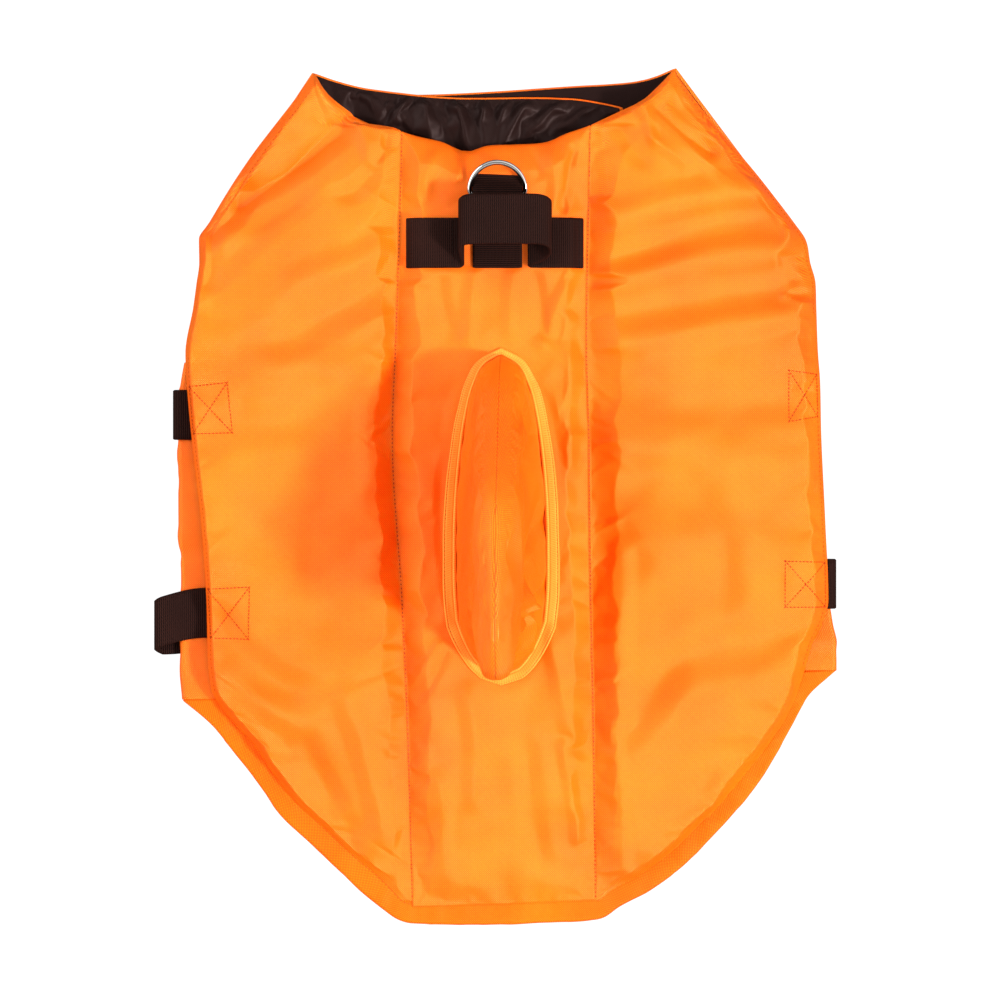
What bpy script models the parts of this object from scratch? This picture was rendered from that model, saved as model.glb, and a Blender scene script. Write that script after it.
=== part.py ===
"""A dog life jacket, buckled up and laid flat on its belly, in metres.

+Y points to the neck, +X to the jacket's right-hand edge as seen from above,
+Z up.  The origin lies on the surface below the middle of the jacket.
The padded back lies on top, its chest flaps and belly wings wrap under it.
"""
import math

import bmesh
import bpy
import numpy as np
from mathutils.bvhtree import BVHTree
from mathutils import Vector

MM = 0.001

# Driving dimensions, all in millimetres.
SEAM_GAP = 0.3
CLOTH = 1.5
LINING = 1.0
WEBBING_WIDTH = 25.0
WEBBING = 1.5
BACK_TOP = 26.0
BACK_EDGE = 2.8
WING_TUCK = 7.0
WING_TOP = 6.1
RING_WIRE = 2.8
RING_INNER = 26.0
RING_TILT = 15.0
FIN_X = 2.9
HANDLE_HEIGHT = 20.0
BUCKLE_WIDTH = 33.0
BUCKLE_HEIGHT = 8.4

ORANGE = (0.96, 0.29, 0.03)
BLACK = (0.012, 0.010, 0.011)


class Table:
    """A short table with named columns, read in straight steps along its first."""

    def __init__(self, columns, rows):
        self.names = columns.split()
        self.rows = np.array(sorted(rows), dtype=float)

    def column(self, name):
        return self.rows[:, self.names.index(name)]

    def at(self, key, name):
        return np.interp(key, self.rows[:, 0], self.column(name))


# The padded back by sections from neck to tail: its two edges, how high its
# underside is carried at the middle and at the edges, and how thick its foam is.
BACK = Table("y left right lift_mid lift_edge foam", [
    (221.0, -94.9, 93.8, 14.0, 3.6, 7.0),
    (206.0, -105.8, 104.8, 14.0, 3.6, 9.0),
    (193.0, -115.9, 115.2, 13.6, 3.6, 10.5),
    (181.0, -125.1, 125.6, 13.2, 3.6, 12.0),
    (168.0, -134.1, 136.5, 12.8, 3.6, 13.0),
    (156.0, -141.7, 145.9, 12.5, 3.6, 13.5),
    (143.0, -149.4, 155.7, 12.5, 4.0, 13.5),
    (134.5, -154.6, 161.5, 12.5, 4.6, 13.5),
    (122.0, -154.4, 164.0, 12.5, 5.4, 13.5),
    (112.0, -155.7, 166.6, 12.5, 6.2, 13.5),
    (99.0, -157.4, 167.0, 12.5, 7.4, 13.5),
    (75.0, -161.4, 167.8, 12.5, 9.0, 13.5),
    (62.0, -160.9, 168.8, 12.5, 9.0, 13.5),
    (32.0, -158.3, 169.5, 12.5, 9.0, 13.5),
    (-13.0, -153.2, 171.6, 12.5, 9.0, 13.5),
    (-53.0, -150.5, 173.2, 12.5, 9.0, 13.5),
    (-66.0, -150.2, 169.8, 12.5, 9.0, 13.5),
    (-75.0, -150.0, 165.4, 12.5, 8.8, 13.5),
    (-92.0, -149.0, 160.2, 12.5, 8.4, 13.5),
    (-104.0, -146.4, 156.2, 12.4, 7.4, 13.4),
    (-113.6, -139.6, 151.9, 12.0, 6.0, 13.0),
    (-130.3, -125.1, 141.2, 10.8, 3.4, 12.0),
    (-142.7, -117.0, 131.4, 9.6, 1.6, 11.0),
    (-159.9, -104.3, 117.8, 7.4, 0.6, 10.0),
    (-172.6, -90.4, 105.2, 5.4, 0.3, 9.0),
    (-185.0, -77.8, 92.6, 3.4, 0.3, 8.0),
    (-197.5, -62.7, 75.6, 1.6, 0.3, 6.5),
    (-206.0, -54.2, 60.0, 0.7, 0.3, 5.0),
    (-211.0, -48.6, 53.4, 0.3, 0.3, 4.0),
])

# The two quilting seams, straight between these points.
SEAMS = Table("y left right", [
    (221.0, -48.2, 49.4),
    (190.0, -48.6, 49.1),
    (82.0, -51.7, 47.2),
    (32.0, -53.6, 48.4),
    (-53.0, -48.6, 49.4),
    (-110.0, -46.0, 50.6),
    (-214.5, -43.3, 52.3),
])

# The front rim of the back, from its left corner to its right one.
RIM = Table("x y", [
    (-94.9, 220.2), (-87.1, 209.3), (-75.7, 200.4), (-67.3, 194.6), (-53.8, 192.4),
    (-48.6, 190.1), (-39.8, 187.5), (-28.3, 184.9), (-14.8, 179.8), (-4.0, 182.8),
    (10.0, 183.4), (27.3, 184.9), (36.0, 188.8), (49.2, 193.4), (66.3, 201.5),
    (75.0, 205.6), (82.9, 211.9), (93.5, 222.0),
])

# The tail end of the back, where the hem is sewn on.
TAIL = Table("x y", [(-60.0, -213.6), (-43.0, -213.4), (5.0, -212.0), (30.0, -210.9), (60.0, -209.6)])

# The largest soft folds of the top cloth: a line, half width and depth.
# A negative depth is a trough.
FOLDS = Table("x0 y0 x1 y1 width depth", [
    (-138.0, 140.0, -72.0, 186.0, 15.0, -3.2),
    (-146.0, 118.0, -66.0, 150.0, 18.0, 2.4),
    (-156.0, 84.0, -72.0, 104.0, 20.0, -2.4),
    (-140.0, 52.0, -66.0, 40.0, 22.0, 1.8),
    (-128.0, -96.0, -84.0, -30.0, 24.0, -1.8),
    (-84.0, -176.0, -62.0, -96.0, 16.0, 1.6),
    (66.0, 190.0, 118.0, 128.0, 15.0, -2.6),
    (66.0, 96.0, 152.0, 112.0, 20.0, 2.4),
    (62.0, 62.0, 150.0, 22.0, 22.0, -2.2),
    (74.0, -12.0, 154.0, -34.0, 24.0, 2.0),
    (82.0, -96.0, 140.0, -70.0, 20.0, -2.0),
    (70.0, -150.0, 96.0, -100.0, 18.0, 1.8),
])

# The wings by sections: the outer fold on each side.
WINGS = Table("y left right", [
    (70.0, -162.6, 164.6), (61.0, -164.2, 165.2), (48.0, -165.6, 165.9), (5.0, -165.6, 168.6),
    (-19.0, -165.4, 170.8), (-38.0, -164.3, 172.8), (-54.0, -164.1, 174.3), (-64.0, -164.1, 175.8),
    (-82.0, -164.6, 178.0), (-90.0, -164.9, 178.0), (-105.0, -163.6, 176.0),
])
WING_REAR = -105.0
WING_REAR_RIGHT = -89.5
WING_OVERLAP = 42.0

# The belt: where each strap leaves the side, how far it stands out, its slope,
# the buckle's middle and the strap's own seat on it.
BELT = {
    "upper": dict(left_y=43.0, left_out=-168.2, right_y=53.0, right_out=168.9, middle_y=48.0),
    "lower": dict(left_y=-60.0, left_fold_y=-64.5, left_under_y=-69.0, left_out=-178.0,
                  right_y=-45.0, right_out=177.6, middle_y=-54.0),
}

# The fin by level: its front and rear end and half its width.
FIN = Table("height front rear half_width", [
    (0.0, 74.0, -92.0, 22.6), (12.0, 71.0, -90.5, 21.6), (24.0, 66.0, -86.5, 20.0),
    (37.0, 57.5, -81.5, 17.8), (50.0, 44.5, -77.0, 15.4), (62.0, 31.0, -75.0, 13.0),
    (74.0, 17.5, -77.0, 10.4), (84.0, 6.0, -83.0, 8.0), (91.0, -5.0, -92.0, 6.2),
    (97.0, -20.0, -90.0, 4.8), (102.0, -36.0, -86.0, 3.6), (106.0, -50.0, -79.5, 2.4),
    (108.5, -61.0, -72.0, 1.4),
])


def material(name, colour, roughness, metallic=0.0):
    found = bpy.data.materials.get(name)
    if found:
        return found
    made = bpy.data.materials.new(name)
    made.use_nodes = True
    shader = made.node_tree.nodes["Principled BSDF"]
    shader.inputs["Base Color"].default_value = (*colour, 1.0)
    shader.inputs["Roughness"].default_value = roughness
    shader.inputs["Metallic"].default_value = metallic
    return made


def orange_cloth():
    return material("orange_nylon", ORANGE, 0.45)


def black_cloth():
    return material("black_lining", BLACK, 0.5)


def black_webbing():
    return material("black_webbing", BLACK, 0.8)


def make_object(name, points, faces, finish, smooth_angle=40.0):
    """One closed body from points in millimetres, its faces turned outwards."""
    mesh = bpy.data.meshes.new(name)
    mesh.from_pydata([tuple(MM * c for c in p) for p in points], [], faces)
    bm = bmesh.new()
    bm.from_mesh(mesh)
    bmesh.ops.triangulate(bm, faces=bm.faces[:])
    bmesh.ops.recalc_face_normals(bm, faces=bm.faces[:])
    if bm.calc_volume(signed=True) < 0.0:
        bmesh.ops.reverse_faces(bm, faces=bm.faces[:])
    bm.to_mesh(mesh)
    bm.free()
    mesh.shade_smooth()
    mesh.set_sharp_from_angle(angle=math.radians(smooth_angle))
    mesh.materials.append(finish)
    body = bpy.data.objects.new(name, mesh)
    bpy.context.scene.collection.objects.link(body)
    return body


def closed_between(name, upper, lower, finish):
    """A solid between two grids of points with the same rows and columns."""
    rows, columns = upper.shape[:2]
    points = np.concatenate([upper.reshape(-1, 3), lower.reshape(-1, 3)])
    below = rows * columns

    def at(row, column):
        return row * columns + column

    faces = []
    for row in range(rows - 1):
        for column in range(columns - 1):
            quad = [at(row, column), at(row, column + 1), at(row + 1, column + 1), at(row + 1, column)]
            faces.append(quad)
            faces.append([below + i for i in reversed(quad)])
    border = [at(0, c) for c in range(columns)]
    border += [at(r, columns - 1) for r in range(1, rows)]
    border += [at(rows - 1, c) for c in range(columns - 2, -1, -1)]
    border += [at(r, 0) for r in range(rows - 2, 0, -1)]
    for here, there in zip(border, border[1:] + border[:1]):
        faces.append([here, below + here, below + there, there])
    return make_object(name, points, faces, finish)


def sheet(name, middle, thickness, finish):
    """A wall of even thickness round a grid of points."""
    along = np.gradient(middle, axis=0)
    across = np.gradient(middle, axis=1)
    normal = np.cross(across, along)
    normal /= np.linalg.norm(normal, axis=2, keepdims=True)
    half = normal * thickness / 2
    return closed_between(name, middle + half, middle - half, finish)


def strip(name, centres, width, thickness, finish):
    """Webbing along a path in X and Z: its width lies along Y."""
    centres = np.asarray(centres, dtype=float)
    side = np.array([0.0, width / 2, 0.0])
    middle = np.stack([centres - side, centres + side], axis=1)
    direction = np.gradient(centres[:, [0, 2]], axis=0)
    direction /= np.linalg.norm(direction, axis=1, keepdims=True)
    normal = np.stack([-direction[:, 1], np.zeros(len(centres)), direction[:, 0]], axis=1)
    half = normal[:, None, :] * thickness / 2
    return closed_between(name, middle + half, middle - half, finish)


# ---------------------------------------------------------------- padded back

SEAM_ROUND = 13.0
EDGE_ROUND = 24.0
SEAM_SINK = 0.36
LEFT_NECK, RIGHT_NECK, SIDE_TAIL = 219.0, 221.0, -210.5
CENTRE_NECK, CENTRE_TAIL = 190.1, -212.5
# Farther than any rounding reaches.
FAR = 99.0


def seam_rise(distance, width):
    """From 0 at a seam to 1 where the foam is full, as a quarter round."""
    near = np.clip(distance / width, 0.0, 1.0)
    return np.sqrt(1.0 - (1.0 - near) ** 2)


def fold_height(x, y):
    """The sum of the large folds at a point of the top cloth."""
    total = np.zeros_like(x)
    for x0, y0, x1, y1, width, depth in FOLDS.rows:
        run = np.array([x1 - x0, y1 - y0])
        length = np.hypot(*run)
        along = ((x - x0) * run[0] + (y - y0) * run[1]) / length
        off = np.abs((x - x0) * run[1] - (y - y0) * run[0]) / length
        past = np.maximum(np.maximum(-along, along - length), 0.0)
        reach = np.hypot(off, past) / width
        total += depth * np.where(reach < 1.0, 0.5 + 0.5 * np.cos(math.pi * np.clip(reach, 0, 1)), 0.0)
    return total


def back_lift(x, y):
    """How high the underside of the padded back is carried."""
    left = BACK.at(y, "left")
    right = BACK.at(y, "right")
    middle = (left + right) / 2
    share = np.clip(np.abs(x - middle) / ((right - left) / 2), 0.0, 1.0)
    high = BACK.at(y, "lift_mid")
    low = BACK.at(y, "lift_edge")
    return high + (low - high) * share ** 2.2


def back_solid(name, x, y, from_seam, from_edge, folds):
    """One channel: grids of x and y, and each point's way to seam and edge."""
    foam = BACK.at(y, "foam")
    lift = back_lift(x, y)
    off_seam = seam_rise(from_seam, SEAM_ROUND)
    sunk = SEAM_SINK * foam * (1.0 - off_seam)
    full = np.minimum(off_seam, seam_rise(from_edge, EDGE_ROUND))
    low = lift + sunk
    high = low + BACK_EDGE + np.maximum(foam - sunk - BACK_EDGE, 0.0) * full
    high += folds * full
    upper = np.stack([x, y, high], axis=2)
    lower = np.stack([x, y, low], axis=2)
    return closed_between(name, upper, lower, orange_cloth())


def back_rows(first, last):
    """Rows from neck to tail, closer together where the outline bends."""
    fine = [214.0, 208.0, 202.0, 196.0, 193.4, 183.0, 172.0]
    even = list(np.arange(160.0, -100.0, -13.0))
    tail = [-104.0, -113.6, -122.0, -130.3, -142.7, -152.0, -162.0, -172.6, -180.0, -188.0]
    end = [-197.5, -203.0, -207.5]
    bends = [value for value in SEAMS.column("y")[1:-1]]
    rows = [r for r in fine + even + tail + end if min(abs(r - b) for b in bends) > 4.0] + bends
    between = sorted([r for r in rows if last + 1.5 < r < first - 1.5], reverse=True)
    return np.array([first] + between + [last])


def side_channel(side):
    """The left (-1) or right (+1) channel, from the shoulder to the tail."""
    edge_name = "left" if side < 0 else "right"
    rows = back_rows(LEFT_NECK if side < 0 else RIGHT_NECK, SIDE_TAIL)
    shares = np.array([0.0, 0.025, 0.09, 0.2, 0.36, 0.52, 0.68, 0.82, 0.92, 0.975, 1.0])
    edge = BACK.at(rows, edge_name)
    seam = SEAMS.at(rows, edge_name) + side * SEAM_GAP / 2
    rim = RIM.rows[5::-1] if side < 0 else RIM.rows[-5:]
    open_front = rows > rim[0, 1]
    inner = np.where(open_front, np.interp(rows, rim[:, 1], rim[:, 0]), seam)
    x = edge[:, None] + (inner - edge)[:, None] * shares[None, :]
    y = np.repeat(rows[:, None], len(shares), axis=1)
    from_seam = np.where(open_front[:, None], FAR, np.abs(x - seam[:, None]))
    from_edge = np.abs(x - edge[:, None])
    to_rim = np.where(open_front[:, None], np.abs(x - inner[:, None]) * 0.8, FAR)
    to_ends = np.minimum((RIGHT_NECK + 0.5 - y) * 1.2, y - SIDE_TAIL + 2.5)
    from_edge = np.minimum(np.minimum(from_edge, to_rim), to_ends)
    return back_solid("back_channel_" + edge_name, x, y, from_seam, from_edge, fold_height(x, y))


def centre_channel():
    """The middle channel, flat on top where the handle and the fin are sewn."""
    rows = back_rows(CENTRE_NECK, CENTRE_TAIL)
    shares = np.array([0.0, 0.03, 0.085, 0.19, 0.35, 0.5, 0.65, 0.81, 0.915, 0.97, 1.0])
    left = SEAMS.at(rows, "left") + SEAM_GAP / 2
    right = SEAMS.at(rows, "right") - SEAM_GAP / 2
    x = left[:, None] + (right - left)[:, None] * shares[None, :]
    front = np.clip(1.0 - (CENTRE_NECK - rows) / 60.0, 0.0, 1.0)[:, None]
    rear = np.clip(1.0 - (rows - CENTRE_TAIL) / 40.0, 0.0, 1.0)[:, None]
    y = rows[:, None] + front * (RIM.at(x, "y") - CENTRE_NECK) + rear * (TAIL.at(x, "y") - CENTRE_TAIL)
    from_seam = np.minimum(x - left[:, None], right[:, None] - x)
    from_edge = np.minimum((RIM.at(x, "y") - y) * 1.6 + 0.5, y + 216.0)
    return back_solid("back_channel_centre", x, y, from_seam, from_edge, np.zeros_like(x))


# ------------------------------------------------------------------ tail hem

# The hem by stations from the left wing round the tail to the right wing: its
# stitched inner line, its outer edge, and how high it is carried.
HEM = [
    ((-147.0, -106.3), (-162.6, -107.0), 5.0), ((-140.2, -114.0), (-148.0, -117.9), 3.6),
    ((-132.2, -122.9), (-140.2, -127.0), 2.0), ((-125.8, -131.0), (-133.8, -134.9), 1.0),
    ((-117.7, -143.4), (-124.8, -146.6), 0.2), ((-105.0, -160.7), (-111.8, -165.4), 0.0),
    ((-91.2, -173.5), (-96.8, -179.8), 0.0), ((-78.4, -185.9), (-83.8, -192.0), 0.0),
    ((-63.4, -198.4), (-68.8, -206.2), 0.0), ((-54.9, -206.7), (-58.2, -214.6), 0.0),
    ((-49.2, -212.6), (-50.6, -219.9), 0.0), ((-43.4, -214.2), (-43.6, -221.9), 0.0),
    ((-20.0, -213.4), (-20.0, -222.3), 0.0), ((5.0, -212.7), (5.0, -222.3), 0.0),
    ((30.0, -211.6), (30.0, -221.0), 0.0), ((47.0, -210.7), (48.0, -220.3), 0.0),
    ((54.4, -211.4), (55.4, -219.0), 0.0), ((60.8, -206.4), (64.0, -213.4), 0.0),
    ((76.1, -198.0), (80.4, -204.6), 0.0), ((93.1, -185.5), (98.6, -190.6), 0.0),
    ((105.7, -173.1), (111.8, -177.4), 0.0), ((118.3, -160.5), (125.0, -163.0), 0.0),
    ((131.8, -143.0), (138.4, -146.2), 0.2), ((141.6, -130.9), (147.4, -131.0), 1.0),
    ((152.4, -113.7), (158.0, -111.6), 2.4), ((156.7, -104.1), (163.0, -102.6), 3.6),
    ((160.7, -92.2), (176.6, -91.6), 5.0),
]
HEM_THICKNESS = 2.5


def make_hem():
    inner = np.array([(*near, lift) for near, far, lift in HEM])
    outer = np.array([(*far, lift * 0.8) for near, far, lift in HEM])
    lower = np.stack([inner, (inner + outer) / 2, outer], axis=1)
    upper = lower + np.array([0.0, 0.0, HEM_THICKNESS])
    upper[:, 2, 2] -= 0.7
    return closed_between("tail_hem", upper, lower, orange_cloth())


# -------------------------------------------------------------- chest flaps

# Each flap from the shoulder to its free end: its neck edge and its rear edge.
LEFT_FLAP = Table("x_front y_front x_rear y_rear", [
    (-95.4, 219.4, -152.8, 134.6), (-84.0, 216.6, -139.0, 130.0), (-70.5, 213.6, -120.0, 127.6),
    (-58.0, 211.6, -98.0, 126.4), (-48.0, 210.3, -76.0, 126.0), (-38.0, 209.2, -56.0, 126.0),
    (-28.0, 208.4, -40.0, 126.2), (-14.0, 207.9, -20.0, 126.8), (2.0, 208.0, 0.0, 127.6),
    (16.0, 208.2, 18.0, 128.6), (30.0, 208.0, 34.0, 129.6), (44.0, 207.2, 48.0, 130.6),
    (56.0, 205.2, 58.0, 131.6), (66.0, 203.0, 66.0, 132.6),
])
RIGHT_FLAP = Table("x_front y_front x_rear y_rear", [
    (-44.0, 209.6, -46.0, 131.0), (-30.0, 209.9, -30.0, 129.6), (-14.0, 210.6, -12.0, 128.4),
    (6.0, 211.8, 12.0, 127.6), (26.0, 213.2, 44.0, 127.2), (44.0, 214.4, 76.0, 127.2),
    (60.0, 215.3, 106.0, 127.8), (74.0, 216.8, 132.0, 129.0), (84.0, 219.4, 150.0, 131.2),
    (93.9, 222.3, 160.6, 134.6),
])
# Soft gathers of the lining at the neck: middle, half width, height, length.
GATHERS = Table("x width height length", [
    (-62.0, 11.0, 1.2, 22.0), (-36.0, 9.0, 1.7, 30.0), (-19.0, 9.0, 2.3, 36.0),
    (3.0, 10.0, 1.6, 30.0), (27.0, 11.0, 1.4, 24.0),
])


def flap_grid(table, across=7):
    """Points of a flap in plan, a row for each station, from neck to rear."""
    front = np.stack([table.column("x_front"), table.column("y_front")], axis=1)
    rear = np.stack([table.column("x_rear"), table.column("y_rear")], axis=1)
    shares = np.linspace(0.0, 1.0, across) ** 1.4
    return front[:, None, :] + (rear - front)[:, None, :] * shares[None, :, None]


def inset_grid(plan, margin):
    """The same grid drawn in from its border by a margin."""
    centre = plan.mean(axis=(0, 1))
    size = plan.max(axis=(0, 1)) - plan.min(axis=(0, 1))
    return centre + (plan - centre) * (1.0 - 2.0 * margin / size)


def left_flap_step(x):
    """The left flap climbs onto the right one's free end."""
    return np.interp(x, [-72.0, -50.0], [0.0, CLOTH + LINING + 2 * SEAM_GAP])


def gather_height(x, y):
    total = np.zeros_like(x)
    front = np.interp(x, LEFT_FLAP.rows[:, 0], LEFT_FLAP.column("y_front"))
    for middle, width, height, length in GATHERS.rows:
        off = np.clip(np.abs(x - middle) / width, 0.0, 1.0)
        back = np.clip((front - y) / length, 0.0, 1.0)
        total += height * (0.5 + 0.5 * np.cos(math.pi * off)) * (1.0 - back) ** 0.5
    return total


LINING_MARGIN = 1.2


def make_flap(name, lining_name, plan, step, gathers):
    """A flap's orange shell and the black lining that lies on it."""
    base = np.concatenate([plan, step(plan[..., :1])], axis=2)
    thick = np.array([0.0, 0.0, CLOTH])
    closed_between(name, base + thick, base, orange_cloth())
    inner = inset_grid(plan, LINING_MARGIN)
    rise = CLOTH + SEAM_GAP + step(inner[..., :1])
    if gathers:
        rise = rise + gather_height(inner[..., 0], inner[..., 1])[..., None]
    low = np.concatenate([inner, rise], axis=2)
    closed_between(lining_name, low + np.array([0.0, 0.0, LINING]), low, black_cloth())


def make_flaps():
    def flat(x):
        return np.zeros_like(x)

    make_flap("chest_flap_left", "chest_lining_left", flap_grid(LEFT_FLAP), left_flap_step, True)
    make_flap("chest_flap_right", "chest_lining_right", flap_grid(RIGHT_FLAP), flat, False)


# -------------------------------------------------------------- belly wings

BUCKLE_FLAT = 22.0
BUCKLE_RAMP = 21.0
# How high the wings are carried along X, over the buckle, its sewn loops and
# the single webbing.
CARRY = Table("x height", [(0.0, 8.8), (34.0, 8.8), (62.0, 4.2), (84.0, 2.2), (400.0, 2.2)])


def wing_carry(x, y):
    """How high the wings' underside is carried by the belt below it."""
    total = np.zeros_like(x)
    for belt in BELT.values():
        off = np.abs(y - belt["middle_y"]) - BUCKLE_FLAT
        share = np.clip(1.0 - off / BUCKLE_RAMP, 0.0, 1.0)
        total = np.maximum(total, share * CARRY.at(np.abs(x), "height"))
    return total


def wing_rows(rear):
    rows = [70.0, 59.0, 48.0, 37.0, 26.0, 15.5, 5.0, -3.0, -11.0, -21.5, -32.0, -43.0, -54.0, -65.0]
    return np.array(rows + ([-76.0, -86.5, -97.0, -105.0] if rear < -100.0 else [-76.0, -83.0, -89.5]))


# The left wing climbs onto the right one's free end between these places.
STEP_FROM_TO = [-62.0, -45.0]


def wing(side):
    """A wing from its tuck under the back, round the side, in under the belly."""
    name = "left" if side < 0 else "right"
    rear = WING_REAR if side < 0 else WING_REAR_RIGHT
    raised = CLOTH + SEAM_GAP + 0.1 if side < 0 else 0.0
    columns = side * np.array([128.0, 104.0, 84.0, 62.0, 45.0, 34.0, 12.0, -12.0, -34.0, -WING_OVERLAP])
    rows = []
    for y in wing_rows(rear):
        edge = BACK.at(y, name)
        outer = WINGS.at(y, name) - side * CLOTH / 2
        base_y = np.full(len(columns), y)
        step = np.interp(columns, STEP_FROM_TO, [0.0, raised])
        base = wing_carry(columns, base_y) + CLOTH / 2 + step
        radius = (WING_TOP - base[0]) / 2
        middle = base[0] + radius
        turn = np.radians([90.0, 50.0, 15.0, -20.0, -55.0, -90.0])
        tuck = side * min(abs(edge), abs(outer) - radius)
        path = [(tuck - side * WING_TUCK, WING_TOP), (tuck - side * WING_TUCK / 2, WING_TOP)]
        for angle in turn:
            path.append((outer - side * radius * (1.0 - math.cos(angle)), middle + radius * math.sin(angle)))
        path += [(outer - side * 14.0, base[0])]
        path += list(zip(columns, base))
        rows.append([(x, y, z) for x, z in path])
    return sheet("belly_wing_" + name, np.array(rows), CLOTH, orange_cloth())


# --------------------------------------------------------------------- belt

# The strap's way round the buckle's bar, from the single webbing to the sewn
# end: distance from the buckle's middle and height.
BAR_LOOP = [
    (34.0, 0.75), (26.6, 0.75), (24.0, 1.1), (22.7, 2.2), (22.5, 3.6), (22.5, 5.2), (23.2, 6.6),
    (25.2, 7.1), (29.0, 7.1), (32.5, 6.2), (36.5, 4.4), (40.5, 3.0), (45.0, 2.6), (60.0, 2.6),
]
STRAP_TOP = 7.95
TONGUE = 23.0
TURN_LEAD = 2.0


def strap(level, side):
    """Belt webbing: sewn under the back's edge, round the side, to the buckle."""
    belt = BELT[level]
    name = "left" if side < 0 else "right"
    y_side = belt[name + "_y"]
    out = belt[name + "_out"] - side * WEBBING / 2
    y_fold = belt.get(name + "_fold_y", y_side)
    y_under = belt.get(name + "_under_y", y_side)
    edge = BACK.at(y_side, name)
    radius = (STRAP_TOP - WEBBING / 2) / 2
    path = []
    sewn = side * min(abs(edge), abs(out) - radius - TURN_LEAD)
    for inward in (TONGUE, TONGUE / 2, 0.0):
        path.append((sewn - side * inward, y_side, STRAP_TOP))
    turn = np.radians([90.0, 60.0, 30.0, 0.0, -30.0, -60.0, -90.0])
    for share, angle in zip(np.linspace(0.0, 1.0, len(turn)), turn):
        x = out - side * (radius - radius * math.cos(angle))
        y = y_fold + (y_under - y_fold) * share
        path.append((x, y, STRAP_TOP - radius + radius * math.sin(angle)))
    start = path[-1][0]
    for reach in (140.0, 110.0, 84.0, 60.0):
        share = (abs(start) - reach) / (abs(start) - 34.0)
        y = y_under + (belt["middle_y"] - y_under) * share
        path.append((side * reach, y, WEBBING / 2))
    end_slope = (belt["middle_y"] - y_under) / (abs(start) - 34.0)
    for reach, height in BAR_LOOP:
        y = belt["middle_y"] - end_slope * (reach - 34.0 if reach > 34.0 else 0.0)
        path.append((side * reach, y, height))
    return strip("strap_{}_{}".format(level, name), path, WEBBING_WIDTH, WEBBING, black_webbing())


def block(name, low, high):
    """A plain box between two corners."""
    x, y, z = zip(low, high)
    points = [(x[i], y[j], z[k]) for i in (0, 1) for j in (0, 1) for k in (0, 1)]
    faces = [(0, 1, 3, 2), (4, 6, 7, 5), (0, 4, 5, 1), (2, 3, 7, 6), (0, 2, 6, 4), (1, 5, 7, 3)]
    return make_object(name, points, faces, buckle_plastic())


def plate(name, outline, low, high, finish):
    """A flat piece cut to an outline in plan."""
    count = len(outline)
    points = [(x, y, low) for x, y in outline] + [(x, y, high) for x, y in outline]
    faces = [tuple(range(count)), tuple(range(count, 2 * count))]
    faces += [(i, (i + 1) % count, count + (i + 1) % count, count + i) for i in range(count)]
    return make_object(name, points, faces, finish)


def buckle_plastic():
    return material("buckle_plastic", (0.015, 0.015, 0.016), 0.4)


def cut(body, cutter, operation="DIFFERENCE"):
    cutter.hide_render = True
    cutter.display_type = "WIRE"
    boolean = body.modifiers.new(cutter.name, "BOOLEAN")
    boolean.operation = operation
    boolean.solver = "EXACT"
    boolean.object = cutter


def rounded_plan(end, joint, end_radius, joint_radius):
    """A buckle half in plan: well rounded at its bar end, less at the joint."""
    half = BUCKLE_WIDTH / 2
    low, high = sorted((end, joint))
    low_radius = end_radius if end == low else joint_radius
    high_radius = end_radius if end == high else joint_radius
    corners = [(high - high_radius, -1, high_radius, -90.0), (high - high_radius, 1, high_radius, 0.0),
               (low + low_radius, 1, low_radius, 90.0), (low + low_radius, -1, low_radius, 180.0)]
    points = []
    for x, side, radius, start in corners:
        for angle in np.radians(start + np.array([0.0, 30.0, 60.0, 90.0])):
            points.append((x + radius * math.cos(angle), side * (half - radius) + radius * math.sin(angle)))
    return points


BUCKLE_END = 28.0
BUCKLE_JOINT = 8.0
BAR_CUT = [(29.5, -1.0), (20.5, -1.0), (20.5, 9.4), (29.5, 9.4), (29.5, 5.8), (24.7, 5.8),
           (24.7, 2.3), (29.5, 2.3)]
# Half of the plug's fork in plan: the arm with its catch, then the guide.
FORK = [(12.0, 11.6), (0.3, 11.8), (0.3, 15.2), (-7.2, 12.4), (-11.0, 10.6), (-11.0, 8.4),
        (-6.0, 8.2), (8.0, 8.2), (8.0, 2.6), (-14.0, 2.0)]


def bar_cutter(name, side, middle_y):
    """What is cut away round the bar so that the webbing can pass."""
    reach = WEBBING_WIDTH / 2 + 0.8
    count = len(BAR_CUT)
    points = [(side * x, middle_y + y, z) for y in (-reach, reach) for x, z in BAR_CUT]
    faces = [tuple(range(count)), tuple(range(count, 2 * count))]
    faces += [(i, (i + 1) % count, count + (i + 1) % count, count + i) for i in range(count)]
    return make_object(name, points, faces, buckle_plastic())


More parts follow.
